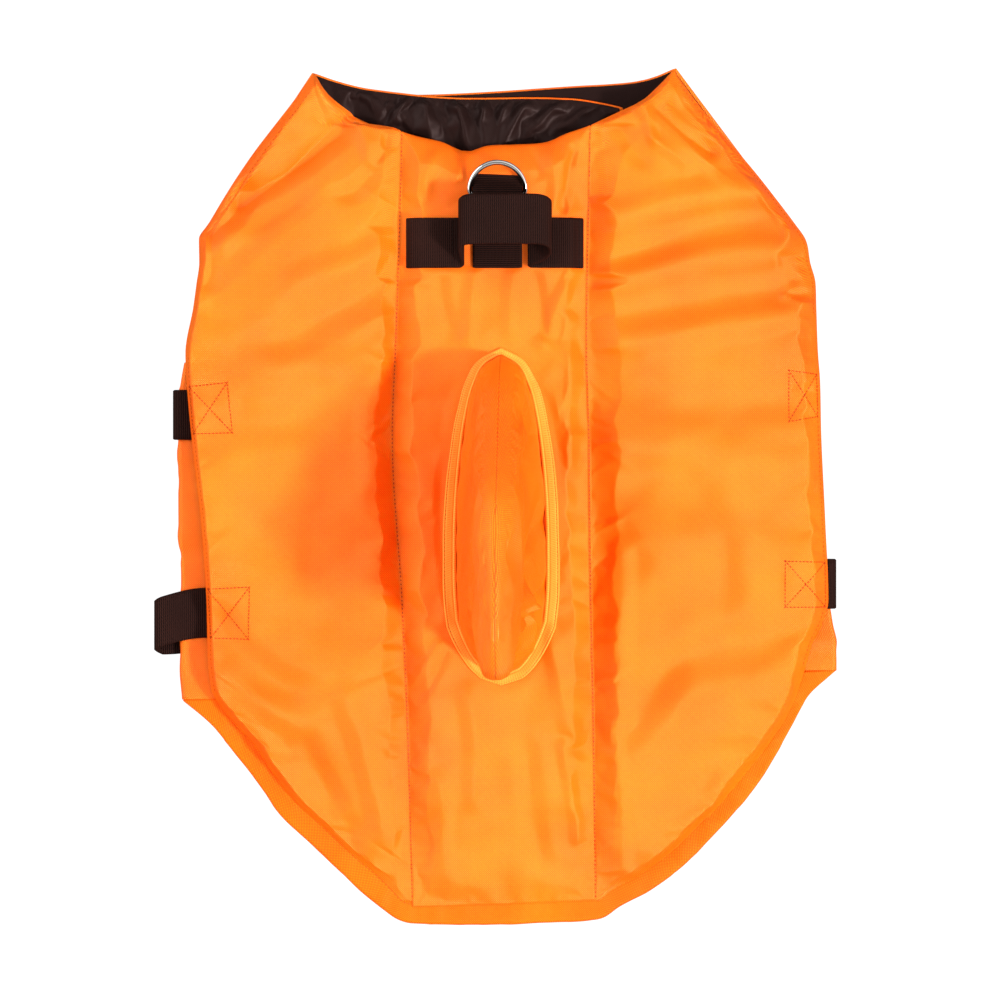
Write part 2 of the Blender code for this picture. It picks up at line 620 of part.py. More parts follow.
def make_buckle(level):
    """A side-release buckle, fastened: the socket on the left, the plug in it."""
    y = BELT[level]["middle_y"]
    name = "buckle_" + level
    plan = [(px, y + py) for px, py in rounded_plan(-BUCKLE_END, BUCKLE_JOINT, 5.0, 1.2)]
    socket = plate(name + "_socket", plan, 0.0, BUCKLE_HEIGHT, buckle_plastic())
    cut(socket, bar_cutter("cutter_bar_socket_" + level, -1, y))
    cut(socket, block("cutter_cavity_" + level, (-17.0, y - 12.6, 1.8), (9.0, y + 12.6, 6.6)))
    cut(socket, block("cutter_window_" + level, (-7.7, y - 18.0, 1.8), (0.8, y + 18.0, 6.6)))
    joint = BUCKLE_JOINT + SEAM_GAP
    plan = [(px, y + py) for px, py in rounded_plan(BUCKLE_END, joint, 5.0, 1.2)]
    plug = plate(name + "_plug", plan, 0.0, BUCKLE_HEIGHT, buckle_plastic())
    fork = [(px, y + py) for px, py in FORK] + [(px, y - py) for px, py in reversed(FORK)]
    cut(plug, plate("cutter_fork_" + level, fork, 2.4, 6.0, buckle_plastic()), "UNION")
    cut(plug, bar_cutter("cutter_bar_plug_" + level, 1, y))


def make_belt():
    for level in BELT:
        strap(level, -1)
        strap(level, 1)
        make_buckle(level)


# --------------------------------------------------- what lies on the back

def surface_of(body):
    """A probe for the height of a body's top at a point in plan."""
    tree = BVHTree.FromPolygons([v.co.copy() for v in body.data.vertices],
                                [tuple(p.vertices) for p in body.data.polygons])

    def height(x, y):
        hit = tree.ray_cast(Vector((x * MM, y * MM, 1.0)), Vector((0.0, 0.0, -1.0)))[0]
        return hit.z / MM

    return height


HANDLE_Y = 131.8
HANDLE_LEAN = 12.0
HANDLE_LEFT = -46.0
HANDLE_RIGHT = 45.2
# The raised loop from its left foot to its right one: place along X and the
# height of the webbing's middle above the cloth.
HANDLE_LOOP = [
    (-19.6, 1.1), (-17.9, 1.4), (-16.9, 2.8), (-17.1, 6.0), (-18.0, 10.0), (-18.5, 14.0),
    (-17.6, 17.2), (-14.6, 18.9), (-9.0, 19.25), (5.0, 19.4), (17.0, 19.4), (23.6, 18.8),
    (27.2, 16.6), (28.3, 13.4), (27.4, 9.6), (24.6, 6.4), (21.2, 4.3), (19.2, 3.3),
    (17.9, 2.85), (17.35, 2.1), (18.0, 1.3), (19.4, 1.1),
]


def make_handle(height):
    """25 mm webbing sewn flat at both ends, its loop leaning to the neck."""
    def on_cloth(x):
        low, high = HANDLE_Y - WEBBING_WIDTH / 2, HANDLE_Y + WEBBING_WIDTH / 2
        return max(height(x, low), height(x, HANDLE_Y), height(x, high)) + 0.4 + WEBBING / 2

    path = [(x, HANDLE_Y, on_cloth(x)) for x in (HANDLE_LEFT, -44.2, -42.4, -32.2, -25.0)]
    for x, above in HANDLE_LOOP:
        lean = HANDLE_LEAN * np.clip((above - 1.1) / (HANDLE_HEIGHT - 1.1), 0.0, 1.0)
        path.append((x, HANDLE_Y + lean, BACK_TOP + above))
    path += [(x, HANDLE_Y, on_cloth(x)) for x in (25.0, 28.7, 38.7, 42.0, HANDLE_RIGHT)]
    return strip("handle_strap", path, WEBBING_WIDTH, WEBBING, black_webbing())


RING_X = 1.0
RING_Y = 156.8
RING_Z = BACK_TOP + 0.35 + RING_WIRE / 2
TAB_WIDTH = 24.6
# The ring's tab along Y, from under the handle over the ring's bar to its neck
# end, and the height of the webbing's middle above the cloth.
TAB_PATH = [
    (119.2, 1.1), (130.0, 1.1), (141.0, 1.1), (148.0, 1.15), (151.0, 1.9), (153.4, 3.3),
    (155.2, 4.05), (156.8, 4.25), (158.4, 4.05), (160.2, 3.3), (162.4, 1.9), (164.2, 1.2), (166.6, 1.1),
]


def make_tab():
    points = np.array([(RING_X, y, BACK_TOP + above) for y, above in TAB_PATH])
    side = np.array([TAB_WIDTH / 2, 0.0, 0.0])
    middle = np.stack([points + side, points - side], axis=1)
    return sheet("ring_tab", middle, WEBBING, black_webbing())


def ring_path():
    """The wire's middle line: a straight bar, two small corners, a half round."""
    half = (RING_INNER + RING_WIRE) / 2
    corner = 2.5
    points = []
    for angle in np.radians(np.linspace(-90.0, -22.5, 4)):
        points.append((half - corner + corner * math.cos(angle), corner + corner * math.sin(angle)))
    for angle in np.radians(np.linspace(0.0, 180.0, 21)):
        points.append((half * math.cos(angle), corner + half * math.sin(angle)))
    for angle in np.radians(np.linspace(202.5, 270.0, 4)):
        points.append((-half + corner + corner * math.cos(angle), corner + corner * math.sin(angle)))
    points += [(x, 0.0) for x in (-6.0, 0.0, 6.0)]
    return np.array(points)


def make_ring():
    """The chrome D-ring, turned about its bar, which is also its hinge."""
    path = ring_path()
    along = np.roll(path, -1, axis=0) - np.roll(path, 1, axis=0)
    along /= np.linalg.norm(along, axis=1, keepdims=True)
    outward = np.stack([along[:, 1], -along[:, 0]], axis=1)
    tilt = math.radians(RING_TILT)
    sides = 8
    points = []
    for (x, reach), (out_x, out_reach) in zip(path, outward):
        for k in range(sides):
            angle = 2 * math.pi * (k + 0.5) / sides
            radius = RING_WIRE / 2
            px = x + radius * math.cos(angle) * out_x
            pr = reach + radius * math.cos(angle) * out_reach
            pz = radius * math.sin(angle)
            points.append((px, pr * math.cos(tilt) - pz * math.sin(tilt),
                           pr * math.sin(tilt) + pz * math.cos(tilt)))
    count = len(path)
    faces = []
    for i in range(count):
        for k in range(sides):
            n, m = (i + 1) % count, (k + 1) % sides
            faces.append((i * sides + k, n * sides + k, n * sides + m, i * sides + m))
    ring = make_object("d_ring", points, faces, material("chrome", (0.75, 0.75, 0.76), 0.12, 1.0))
    ring.location = Vector((RING_X, RING_Y, RING_Z)) * MM
    return ring


# ----------------------------------------------------------------------- fin

FIN_LENS = Table("share width", [
    (0.0, 0.0), (0.03, 0.34), (0.09, 0.58), (0.2, 0.78), (0.34, 0.91), (0.5, 0.985),
    (0.64, 1.0), (0.78, 0.97), (0.9, 0.82), (0.97, 0.48), (1.0, 0.0),
])
FIN_FOOT = BACK_TOP + 0.35
FLANGE_FRONT = 77.0
FLANGE_REAR = -97.0
FLANGE_WIDTH = 6.6


def fin_middle(height):
    """The fin leans a little to the left."""
    return FIN_X - 0.03 * height


def fin_half(side):
    """One stuffed half: its bulged outer face over the flat ridge plane."""
    shares = FIN_LENS.column("share")
    outer, inner = [], []
    for height, front, rear, half_width in FIN.rows:
        y = front + (rear - front) * shares
        bulge = half_width * FIN_LENS.at(shares, "width") + 0.6
        middle = fin_middle(height)
        z = np.full(len(shares), FIN_FOOT + height)
        inner_x = np.full(len(shares), middle + side * SEAM_GAP / 2)
        outer.append(np.stack([inner_x + side * bulge, y, z], axis=1))
        inner.append(np.stack([inner_x, y, z], axis=1))
    name = "fin_left" if side < 0 else "fin_right"
    return closed_between(name, np.array(outer), np.array(inner), orange_cloth())


def make_flange(height):
    """The fin's turned-out edge: a flat ring of cloth sewn round its foot."""
    foot = FIN.rows[0]
    shares = FIN_LENS.column("share")
    width = FIN_LENS.at(shares, "width")
    inner_half = width * foot[3] + 0.6 + SEAM_GAP + 0.25
    inner_y = foot[1] + 0.5 + (foot[2] - foot[1] - 1.0) * shares
    outer_half = width * (foot[3] + 0.6 + FLANGE_WIDTH)
    outer_y = FLANGE_FRONT + (FLANGE_REAR - FLANGE_FRONT) * shares
    ring = []
    for i in range(len(shares)):
        ring.append((inner_half[i], inner_y[i], outer_half[i], outer_y[i]))
    right = ring[1:-1]
    loop = [(0.0, foot[1] + 1.2, 0.0, FLANGE_FRONT)] + right
    loop += [(0.0, foot[2] - 1.2, 0.0, FLANGE_REAR)] + [(-a, b, -c, d) for a, b, c, d in reversed(right)]
    points, faces = [], []
    for inner_x, near, outer_x, far in loop:
        for x, y in ((FIN_X + inner_x, near), (FIN_X + outer_x, far)):
            bottom = height(x, y) + 0.35
            points += [(x, y, bottom), (x, y, bottom + CLOTH)]
    count = len(loop)
    for i in range(count):
        a, b = 4 * i, 4 * ((i + 1) % count)
        faces += [(a, b, b + 1, a + 1), (a + 2, a + 3, b + 3, b + 2),
                  (a, a + 2, b + 2, b), (a + 1, b + 1, b + 3, a + 3)]
    return make_object("fin_flange", points, faces, orange_cloth())


def main():
    for old in list(bpy.data.objects):
        bpy.data.objects.remove(old, do_unlink=True)
    for side in (-1, 1):
        side_channel(side)
        wing(side)
        fin_half(side)
    centre = centre_channel()
    make_hem()
    make_flaps()
    make_belt()
    height = surface_of(centre)
    make_flange(height)
    make_handle(height)
    make_tab()
    make_ring()


main()
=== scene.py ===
"""A dog's swim vest, buckled and laid flat: its cloth, webbing, ring and stitching.

+Y points to the neck, +X to the right-hand edge seen from above, +Z up.
"""
import math

import bmesh
import bpy
import numpy as np
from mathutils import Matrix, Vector
from mathutils.bvhtree import BVHTree


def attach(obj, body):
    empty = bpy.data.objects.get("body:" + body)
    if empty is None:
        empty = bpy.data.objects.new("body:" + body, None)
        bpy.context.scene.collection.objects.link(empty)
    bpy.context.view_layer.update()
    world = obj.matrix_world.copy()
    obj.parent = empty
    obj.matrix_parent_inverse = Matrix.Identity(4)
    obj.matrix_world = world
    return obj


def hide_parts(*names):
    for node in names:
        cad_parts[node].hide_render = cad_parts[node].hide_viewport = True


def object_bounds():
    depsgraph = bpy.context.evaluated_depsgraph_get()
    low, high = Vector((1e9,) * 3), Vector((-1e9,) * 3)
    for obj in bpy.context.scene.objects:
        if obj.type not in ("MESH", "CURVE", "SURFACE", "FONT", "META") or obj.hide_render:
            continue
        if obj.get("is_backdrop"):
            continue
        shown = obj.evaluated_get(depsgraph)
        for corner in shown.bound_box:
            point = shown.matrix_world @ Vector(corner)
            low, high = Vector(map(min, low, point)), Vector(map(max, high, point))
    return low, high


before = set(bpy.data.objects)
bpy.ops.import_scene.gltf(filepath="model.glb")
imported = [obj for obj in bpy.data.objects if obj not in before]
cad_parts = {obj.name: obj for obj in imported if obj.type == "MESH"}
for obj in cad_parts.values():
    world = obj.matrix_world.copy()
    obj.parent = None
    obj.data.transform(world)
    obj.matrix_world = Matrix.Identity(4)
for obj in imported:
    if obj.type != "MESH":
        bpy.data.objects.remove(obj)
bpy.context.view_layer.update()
JACKET = "jacket"


# ------------------------------------------------- chest flaps and their lining
# The two flaps that wrap under the neck: a satin nylon shell, its neck edge
# turned in and stitched, and a thin black lining sewn inside with soft gathers.
# The left flap lies on the right one and is held there by hook and loop tape.

# Lengths are in millimetres; MM makes metres of them.
MM = 0.001
CLOTH = 1.5
LINING = 1.0
SEAM_GAP = 0.3
NOISE_CELLS = 61


def smooth_table(knots, values, at):
    """Values between the knots of a table along a curve without corners."""
    knots = np.asarray(knots, float)
    values = np.asarray(values, float)
    order = np.argsort(knots)
    knots, values = knots[order], values[order]
    steps = np.diff(knots)
    slopes = np.diff(values) / steps
    inner = np.where(slopes[:-1] * slopes[1:] > 0.0, (slopes[:-1] + slopes[1:]) / 2, 0.0)
    bound = 3.0 * np.minimum(np.abs(slopes[:-1]), np.abs(slopes[1:]))
    inner = np.clip(inner, -bound, bound)
    tangent = np.concatenate([[slopes[0]], inner, [slopes[-1]]])
    at = np.clip(np.asarray(at, float), knots[0], knots[-1])
    k = np.clip(np.searchsorted(knots, at) - 1, 0, len(steps) - 1)
    t = (at - knots[k]) / steps[k]
    h = steps[k]
    return ((2 * t ** 3 - 3 * t ** 2 + 1) * values[k] + (t ** 3 - 2 * t ** 2 + t) * h * tangent[k]
            + (3 * t ** 2 - 2 * t ** 3) * values[k + 1] + (t ** 3 - t ** 2) * h * tangent[k + 1])


def soft_noise(x, y, cell, seed):
    """Smooth unevenness between -1 and 1, in spots about one cell across."""
    lattice = np.random.default_rng(seed).uniform(-1.0, 1.0, (NOISE_CELLS, NOISE_CELLS))
    centre = NOISE_CELLS // 2
    u, v = np.asarray(x) / cell + centre, np.asarray(y) / cell + centre
    i, j = np.floor(u).astype(int), np.floor(v).astype(int)
    f, g = u - i, v - j
    f, g = f * f * (3 - 2 * f), g * g * (3 - 2 * g)
    i0, i1 = i % NOISE_CELLS, (i + 1) % NOISE_CELLS
    j0, j1 = j % NOISE_CELLS, (j + 1) % NOISE_CELLS
    a, b, c, d = lattice[i0, j0], lattice[i1, j0], lattice[i0, j1], lattice[i1, j1]
    return (a * (1 - f) + b * f) * (1 - g) + (c * (1 - f) + d * f) * g


def border_of(rows, columns):
    """The border vertices of a grid in order, as pairs of row and column."""
    loop = [(0, c) for c in range(columns)] + [(r, columns - 1) for r in range(1, rows)]
    loop += [(rows - 1, c) for c in range(columns - 2, -1, -1)]
    return loop + [(r, 0) for r in range(rows - 2, 0, -1)]


def grid_quads(rows, columns, first=0):
    index = first + np.arange(rows * columns).reshape(rows, columns)
    quads = np.stack([index[:-1, :-1], index[:-1, 1:], index[1:, 1:], index[1:, :-1]], axis=-1)
    return quads.reshape(-1, 4)


def cloth_uv(points):
    """Each grid point's way along the cloth, in metres, for weave and ribs."""
    across = np.linalg.norm(np.diff(points, axis=1), axis=2).cumsum(axis=1)
    along = np.linalg.norm(np.diff(points, axis=0), axis=2).cumsum(axis=0)
    u = np.concatenate([np.zeros((points.shape[0], 1)), across], axis=1)
    v = np.concatenate([np.zeros((1, points.shape[1])), along], axis=0)
    u = u - u[:, [points.shape[1] // 2]]
    return np.stack([u, np.repeat(v.mean(axis=1, keepdims=True), points.shape[1], axis=1)], axis=2) * MM


def in_scene(name, data):
    """A new object in the scene, at the origin and unturned."""
    thing = bpy.data.objects.new(name, data)
    bpy.context.scene.collection.objects.link(thing)
    return thing


def new_piece(name, points, faces, uv, finishes, second_from=0):
    """A mesh object from points in millimetres, its faces turned outwards.

    Where it has two finishes, the second one starts at the face second_from.
    """
    mesh = bpy.data.meshes.new(name)
    mesh.from_pydata((np.asarray(points) * MM).tolist(), [], [list(f) for f in faces])
    for finish in finishes:
        mesh.materials.append(finish)
    if len(finishes) > 1:
        second = np.arange(len(mesh.polygons)) >= second_from
        mesh.polygons.foreach_set("material_index", second.astype(np.int32))
    layer = mesh.uv_layers.new(name="cloth")
    corner = np.zeros(len(mesh.loops), np.int32)
    mesh.loops.foreach_get("vertex_index", corner)
    layer.data.foreach_set("uv", np.asarray(uv, np.float32)[corner].ravel())
    bm = bmesh.new()
    bm.from_mesh(mesh)
    bmesh.ops.recalc_face_normals(bm, faces=bm.faces[:])
    if bm.calc_volume(signed=True) < 0.0:
        bmesh.ops.reverse_faces(bm, faces=bm.faces[:])
    bm.to_mesh(mesh)
    bm.free()
    mesh.shade_smooth()
    return in_scene(name, mesh)


def grid_normals(points):
    normal = np.cross(np.gradient(points, axis=1), np.gradient(points, axis=0))
    return normal / np.maximum(np.linalg.norm(normal, axis=2, keepdims=True), 1e-9)


# How far an edge is rounded out, as a share of half the cloth's thickness.
EDGE_ROUNDED = 0.7


def cloth_shell(name, middle, thickness, finish):
    """A thin closed shell round a grid of points, its cut or turned edge rounded."""
    rows, columns = middle.shape[:2]
    normal = grid_normals(middle)
    half = thickness / 2
    loop = border_of(rows, columns)
    rim = []
    for r, c in loop:
        near = middle[min(max(r, 1), rows - 2), min(max(c, 1), columns - 2)]
        out = middle[r, c] - near
        rim.append(middle[r, c] + out / max(np.linalg.norm(out), 1e-9) * half * EDGE_ROUNDED)
    points = [(middle + normal * half).reshape(-1, 3), (middle - normal * half).reshape(-1, 3), np.array(rim)]
    below, edge = rows * columns, 2 * rows * columns
    upper, lower = [], []
    for k, (r, c) in enumerate(loop):
        r2, c2 = loop[(k + 1) % len(loop)]
        here, there = r * columns + c, r2 * columns + c2
        m, n = edge + k, edge + (k + 1) % len(loop)
        upper.append([here, m, n, there])
        lower.append([m, below + here, below + there, n])
    top = grid_quads(rows, columns).tolist()
    bottom = grid_quads(rows, columns, below)[:, ::-1].tolist()
    flat = cloth_uv(middle).reshape(-1, 2)
    uv = np.concatenate([flat, flat, [flat[r * columns + c] for r, c in loop]])
    return new_piece(name, np.concatenate(points), top + upper + lower + bottom, uv, [finish])


def unit(vectors):
    return vectors / np.linalg.norm(vectors, axis=-1, keepdims=True)


def way_along(points):
    """How far each point of a line is from its start, along the line."""
    return np.concatenate([[0.0], np.cumsum(np.linalg.norm(np.diff(points, axis=0), axis=1))])


def resampled(stations, count):
    """Stations of a short table followed smoothly by more points."""
    stations = np.asarray(stations, float)
    way = way_along(stations)
    at = np.linspace(0.0, way[-1], count)
    return np.stack([smooth_table(way, stations[:, k], at) for k in range(stations.shape[1])], axis=1)


class Signal:
    """A node's output that goes into a formula as a number does."""

    def __init__(self, tree, socket):
        self.tree = tree
        self.socket = socket

    def __add__(self, other):
        return maths(self.tree, "ADD", self, other)

    def __sub__(self, other):
        return maths(self.tree, "SUBTRACT", self, other)

    def __mul__(self, other):
        return maths(self.tree, "MULTIPLY", self, other)

    def __rtruediv__(self, other):
        return maths(self.tree, "DIVIDE", other, self)

    def sine(self):
        return maths(self.tree, "SINE", self)


def fill(tree, node, inputs):
    """Gives each named input of a node another node's output or a plain value."""
    for label, value in inputs.items():
        value = value.socket if isinstance(value, Signal) else value
        if isinstance(value, bpy.types.NodeSocket):
            tree.links.new(value, node.inputs[label])
        else:
            node.inputs[label].default_value = value


def add_node(tree, kind, inputs, **settings):
    """A node with its settings made first, and then its inputs filled."""
    node = tree.nodes.new(kind)
    for label, value in settings.items():
        setattr(node, label, value)
    fill(tree, node, inputs)
    return node


def maths(tree, operation, *terms):
    """One Math node on signals or numbers."""
    node = add_node(tree, "ShaderNodeMath", dict(enumerate(terms)), operation=operation)
    return Signal(tree, node.outputs[0])


def node_group(name, kind, inputs, outputs):
    """A group with named sockets: its tree, what goes into it, its output node."""
    tree = bpy.data.node_groups.new(name, kind)
    for label, socket, value in inputs:
        made = tree.interface.new_socket(name=label, in_out="INPUT", socket_type="NodeSocket" + socket)
        if value is not None:
            made.default_value = value
    for label, socket in outputs:
        tree.interface.new_socket(name=label, in_out="OUTPUT", socket_type="NodeSocket" + socket)
    inside = tree.nodes.new("NodeGroupInput")
    given = {label: Signal(tree, inside.outputs[label]) for label, socket, value in inputs}
    return tree, given, tree.nodes.new("NodeGroupOutput")


def woven_pattern(name, thread, unevenness, speckle, weave):
    """The height of woven threads, no two quite alike, and a shade for the colour that follows it: painted
    light on the raised threads and painted shade between them.

    weave gives the threads' own height from the way across and along the cloth
    and from how often its threads turn in a metre.
    """
    tree, given, out = node_group(
        name, "ShaderNodeTree",
        [("Cloth", "Vector", None), ("Thread", "Float", thread), ("Unevenness", "Float", unevenness)],
        [("Height", "Float"), ("Shade", "Float")])
    split = add_node(tree, "ShaderNodeSeparateXYZ", {0: given["Cloth"]})
    across, along = (Signal(tree, split.outputs[axis]) for axis in ("X", "Y"))
    noise = add_node(tree, "ShaderNodeTexNoise", {"Vector": given["Cloth"], "Scale": speckle, "Detail": 2.0})
    uneven = (Signal(tree, noise.outputs["Fac"]) - 0.5) * given["Unevenness"]
    height = weave(across, along, 2 * math.pi / given["Thread"]) + 0.5 + uneven
    fill(tree, out, {"Height": height, "Shade": height})
    return tree


def plain_weave(across, along, turn):
    """Threads over and under each other."""
    warp, weft = (across * turn).sine(), (along * turn).sine()
    return ((warp + weft) * 0.12 + warp * weft * 1.1) * 0.5


def make_tone_and_sheen():
    """Slow changes of tone over a surface, and faint fine crinkles; on the nylon the patches of tone also
    stand in for its mottled sheen, as painted light.
    """
    tree, given, out = node_group(
        "cloth_tone_and_sheen", "ShaderNodeTree",
        [("Place", "Vector", None), ("Patch", "Float", 18.0), ("Crinkle", "Float", 120.0)],
        [("Tone", "Float"), ("Crease", "Float")])
    for scale, result, detail in (("Patch", "Tone", 3.0), ("Crinkle", "Crease", 5.0)):
        noise = add_node(tree, "ShaderNodeTexNoise",
                         {"Vector": given["Place"], "Scale": given[scale], "Detail": detail})
        fill(tree, out, {result: noise.outputs["Fac"]})
    return tree


weave_group = woven_pattern("nylon_weave", 0.0012, 0.3, 900.0, plain_weave)
tone_and_sheen_group = make_tone_and_sheen()


def new_finish(name):
    """A new material: itself, its tree, its shader, and the places it can read."""
    made = bpy.data.materials.new(name)
    made.use_nodes = True
    tree = made.node_tree
    return made, tree, tree.nodes["Principled BSDF"], tree.nodes.new("ShaderNodeTexCoord").outputs


def from_group(tree, group, inputs):
    """A node group placed in a material; gives its outputs as signals."""
    node = add_node(tree, "ShaderNodeGroup", inputs, node_tree=group)
    return {output.name: Signal(tree, output) for output in node.outputs}


def two_tone(tree, share, dark, light):
    """A colour between a dark and a light one, by a share that varies."""
    mix = add_node(tree, "ShaderNodeMix", {"Factor": share, "A": (*dark, 1.0), "B": (*light, 1.0)},
                   data_type="RGBA")
    return mix.outputs["Result"]


def relief(tree, height, depth):
    """The normals of a fine relief, its depth in metres."""
    return add_node(tree, "ShaderNodeBump", {"Height": height, "Distance": depth}).outputs["Normal"]


# How much a cloth's colour follows its threads, as painted light on the raised threads and painted shade
# between them, and its patches of tone, which are random tone and on the nylon also painted mottled sheen;
# the tone that leaves it as it is, and how much duller the light patches are.
SHADE_OF_THREADS = 1.2
SHADE_OF_PATCHES = 0.9
EVEN_TONE = 0.61
DULLER_PATCHES = 0.12


def fabric(name, light, dark, thread, roughness, gloss, bump,
           crinkle=0.25, group=weave_group, tint=(1.0, 1.0, 1.0)):
    """A woven finish: colour between two tones, following the threads as painted light and shade, thread
    relief, soft satin gloss.
    """
    made, tree, shader, place = new_finish(name)
    weave = from_group(tree, group, {"Cloth": place["UV"], "Thread": thread})
    tone_and_sheen = from_group(tree, tone_and_sheen_group, {"Place": place["Object"]})
    tone = weave["Shade"] * SHADE_OF_THREADS + (tone_and_sheen["Tone"] - EVEN_TONE) * SHADE_OF_PATCHES
    fill(tree, shader, {
        "Base Color": two_tone(tree, tone, dark, light),
        "Roughness": tone_and_sheen["Tone"] * DULLER_PATCHES + (roughness - DULLER_PATCHES / 2),
        "Normal": relief(tree, weave["Height"] * bump + tone_and_sheen["Crease"] * crinkle, 0.001),
        "Specular IOR Level": gloss,
        "Specular Tint": (*tint, 1.0),
    })
    return made


def doubled(grid):
    """The grid with a point put between each two, on a smooth curve through them."""
    for axis in (0, 1):
        given = np.moveaxis(grid, axis, 0)
        ends = np.concatenate([2 * given[:1] - given[1:2], given, 2 * given[-1:] - given[-2:-1]])
        finer = np.empty((2 * len(given) - 1,) + given.shape[1:])
        finer[0::2] = given
        finer[1::2] = (9 * (ends[1:-2] + ends[2:-1]) - ends[:-3] - ends[3:]) / 16
        grid = np.moveaxis(finer, 0, axis)
    return grid


SETTLE_FRAMES = 20


def crinkled(cloth, sewn, tight, slack=0.008, stiffness=20.0, most=2.2):
    """Lets the outer cloth, cut larger than its foam, find its own crinkles.

    It stays where sewn is 1, is slack where tight is 0, and moves most at most.
    """
    coarse = cloth[::2, ::2]
    mesh = bpy.data.meshes.new("outer_cloth")
    mesh.from_pydata((coarse.reshape(-1, 3) * MM).tolist(), [], grid_quads(*coarse.shape[:2]).tolist())
    sheet = in_scene("outer_cloth", mesh)
    for label, weights in (("sewn", sewn), ("tight", tight)):
        group = sheet.vertex_groups.new(name=label)
        for index, weight in enumerate(weights[::2, ::2].ravel()):
            if weight > 0.01:
                group.add([index], float(weight), "REPLACE")
    hang = sheet.modifiers.new("crinkles", "CLOTH")
    hang.settings.quality = 5
    hang.settings.bending_stiffness = stiffness
    hang.settings.effector_weights.gravity = 0.0
    hang.settings.vertex_group_mass = "sewn"
    hang.settings.vertex_group_shrink = "tight"
    hang.settings.shrink_min = -slack
    hang.collision_settings.use_collision = False
    hang.point_cache.frame_start, hang.point_cache.frame_end = 1, SETTLE_FRAMES
    for moment in range(1, SETTLE_FRAMES + 1):
        bpy.context.scene.frame_set(moment)
        bpy.context.view_layer.update()
    settled = sheet.evaluated_get(bpy.context.evaluated_depsgraph_get()).data
    places = np.empty(coarse.size)
    settled.vertices.foreach_get("co", places)
    moved = places.reshape(coarse.shape) / MM - coarse
    bpy.data.objects.remove(sheet, do_unlink=True)
    bpy.context.scene.frame_set(1)
    return cloth + doubled(most * np.tanh(moved / most))


def sewn_round(sewn):
    """The same weights, with the two outermost rows sewn down all round."""
    for border in (sewn[:2], sewn[-2:], sewn[:, :2], sewn[:, -2:]):
        border[...] = 1.0
    return sewn


# The flap's neck edge is sewn down over this width, and from this far on it is
# sewn down again below the back.
NECK_SEAM = 3.0
REAR_SEAM = 44.0


def gathered(middle, from_neck):
    """The lining's slack, gathered into folds between its two seams."""
    at_neck = np.clip((NECK_SEAM - from_neck) / 1.5, 0.0, 1.0)
    at_rear = np.clip((from_neck - REAR_SEAM) / 8.0, 0.0, 1.0)
    sewn = sewn_round(np.maximum(at_neck, at_rear))
    lifted = crinkled(middle, sewn, np.zeros(sewn.shape), slack=0.05, stiffness=12.0, most=3.2)
    lifted[..., 2] = np.maximum(lifted[..., 2], middle[..., 2] - 0.2)
    return lifted


ORANGE_LIGHT = (0.92, 0.208, 0.001)
ORANGE_DARK = (0.88, 0.040, 0.0005)
ORANGE_SHEEN = (1.0, 0.76, 0.27)
LINING_LIGHT = (0.016, 0.007, 0.006)
LINING_DARK = (0.008, 0.0035, 0.003)
LINING_SHEEN = (1.0, 0.72, 0.68)
orange_nylon = fabric("orange_nylon", ORANGE_LIGHT, ORANGE_DARK, thread=0.00115, roughness=0.39, gloss=0.70,
                      bump=0.17, tint=ORANGE_SHEEN)
black_lining = fabric("black_lining", LINING_LIGHT, LINING_DARK, thread=0.0012, roughness=0.42, gloss=0.09,
                      bump=0.03, tint=LINING_SHEEN)

# Each flap from the shoulder to its free end: its neck edge and its rear edge.
LEFT_FLAP = [
    (-95.4, 221.2, -152.8, 134.6), (-84.0, 217.2, -139.0, 130.0), (-70.5, 213.6, -120.0, 127.6),
    (-58.0, 211.6, -98.0, 126.4), (-48.0, 210.3, -76.0, 126.0), (-38.0, 209.2, -56.0, 126.0),
    (-28.0, 208.4, -40.0, 126.2), (-14.0, 207.9, -20.0, 126.8), (2.0, 208.0, 0.0, 127.6),
    (16.0, 208.2, 18.0, 128.6), (30.0, 208.0, 34.0, 129.6), (44.0, 207.2, 48.0, 130.6),
    (56.0, 205.2, 58.0, 131.6), (66.0, 203.0, 66.0, 132.6),
]
RIGHT_FLAP = [
    (-44.0, 209.6, -46.0, 131.0), (-30.0, 209.9, -30.0, 129.6), (-14.0, 210.6, -12.0, 128.4),
    (6.0, 211.8, 12.0, 127.6), (26.0, 213.2, 44.0, 127.2), (44.0, 214.4, 76.0, 127.2),
    (60.0, 215.3, 106.0, 127.8), (74.0, 216.8, 132.0, 129.0), (84.0, 219.4, 150.0, 131.2),
    (93.9, 223.6, 160.6, 134.6),
]
FLAP_STEP = CLOTH + LINING + 2 * SEAM_GAP
# Where the left flap starts to climb onto the right one, and over what run.
CLIMB_FROM, CLIMB_RUN = -72.0, 22.0
TURN_WIDTH = 2.2
LINING_MARGIN = 0.8
# Gathers of the lining: middle, half width, height, how far they run from the
# neck edge, and how they lean across it.
GATHERS = [
    (-66.0, 9.0, 1.5, 26.0, 0.25), (-45.0, 5.0, 2.6, 22.0, -0.5), (-38.0, 7.0, 3.2, 34.0, 0.2),
    (-22.0, 8.0, 3.8, 40.0, 0.35), (-6.0, 7.5, 2.8, 38.0, 0.0), (7.0, 6.0, 2.0, 30.0, -0.4),
    (18.0, 8.0, 2.6, 34.0, -0.6), (35.0, 9.0, 2.0, 28.0, -0.9), (52.0, 8.0, 1.2, 20.0, -1.1),
]
GATHER_FULLNESS = 1.9


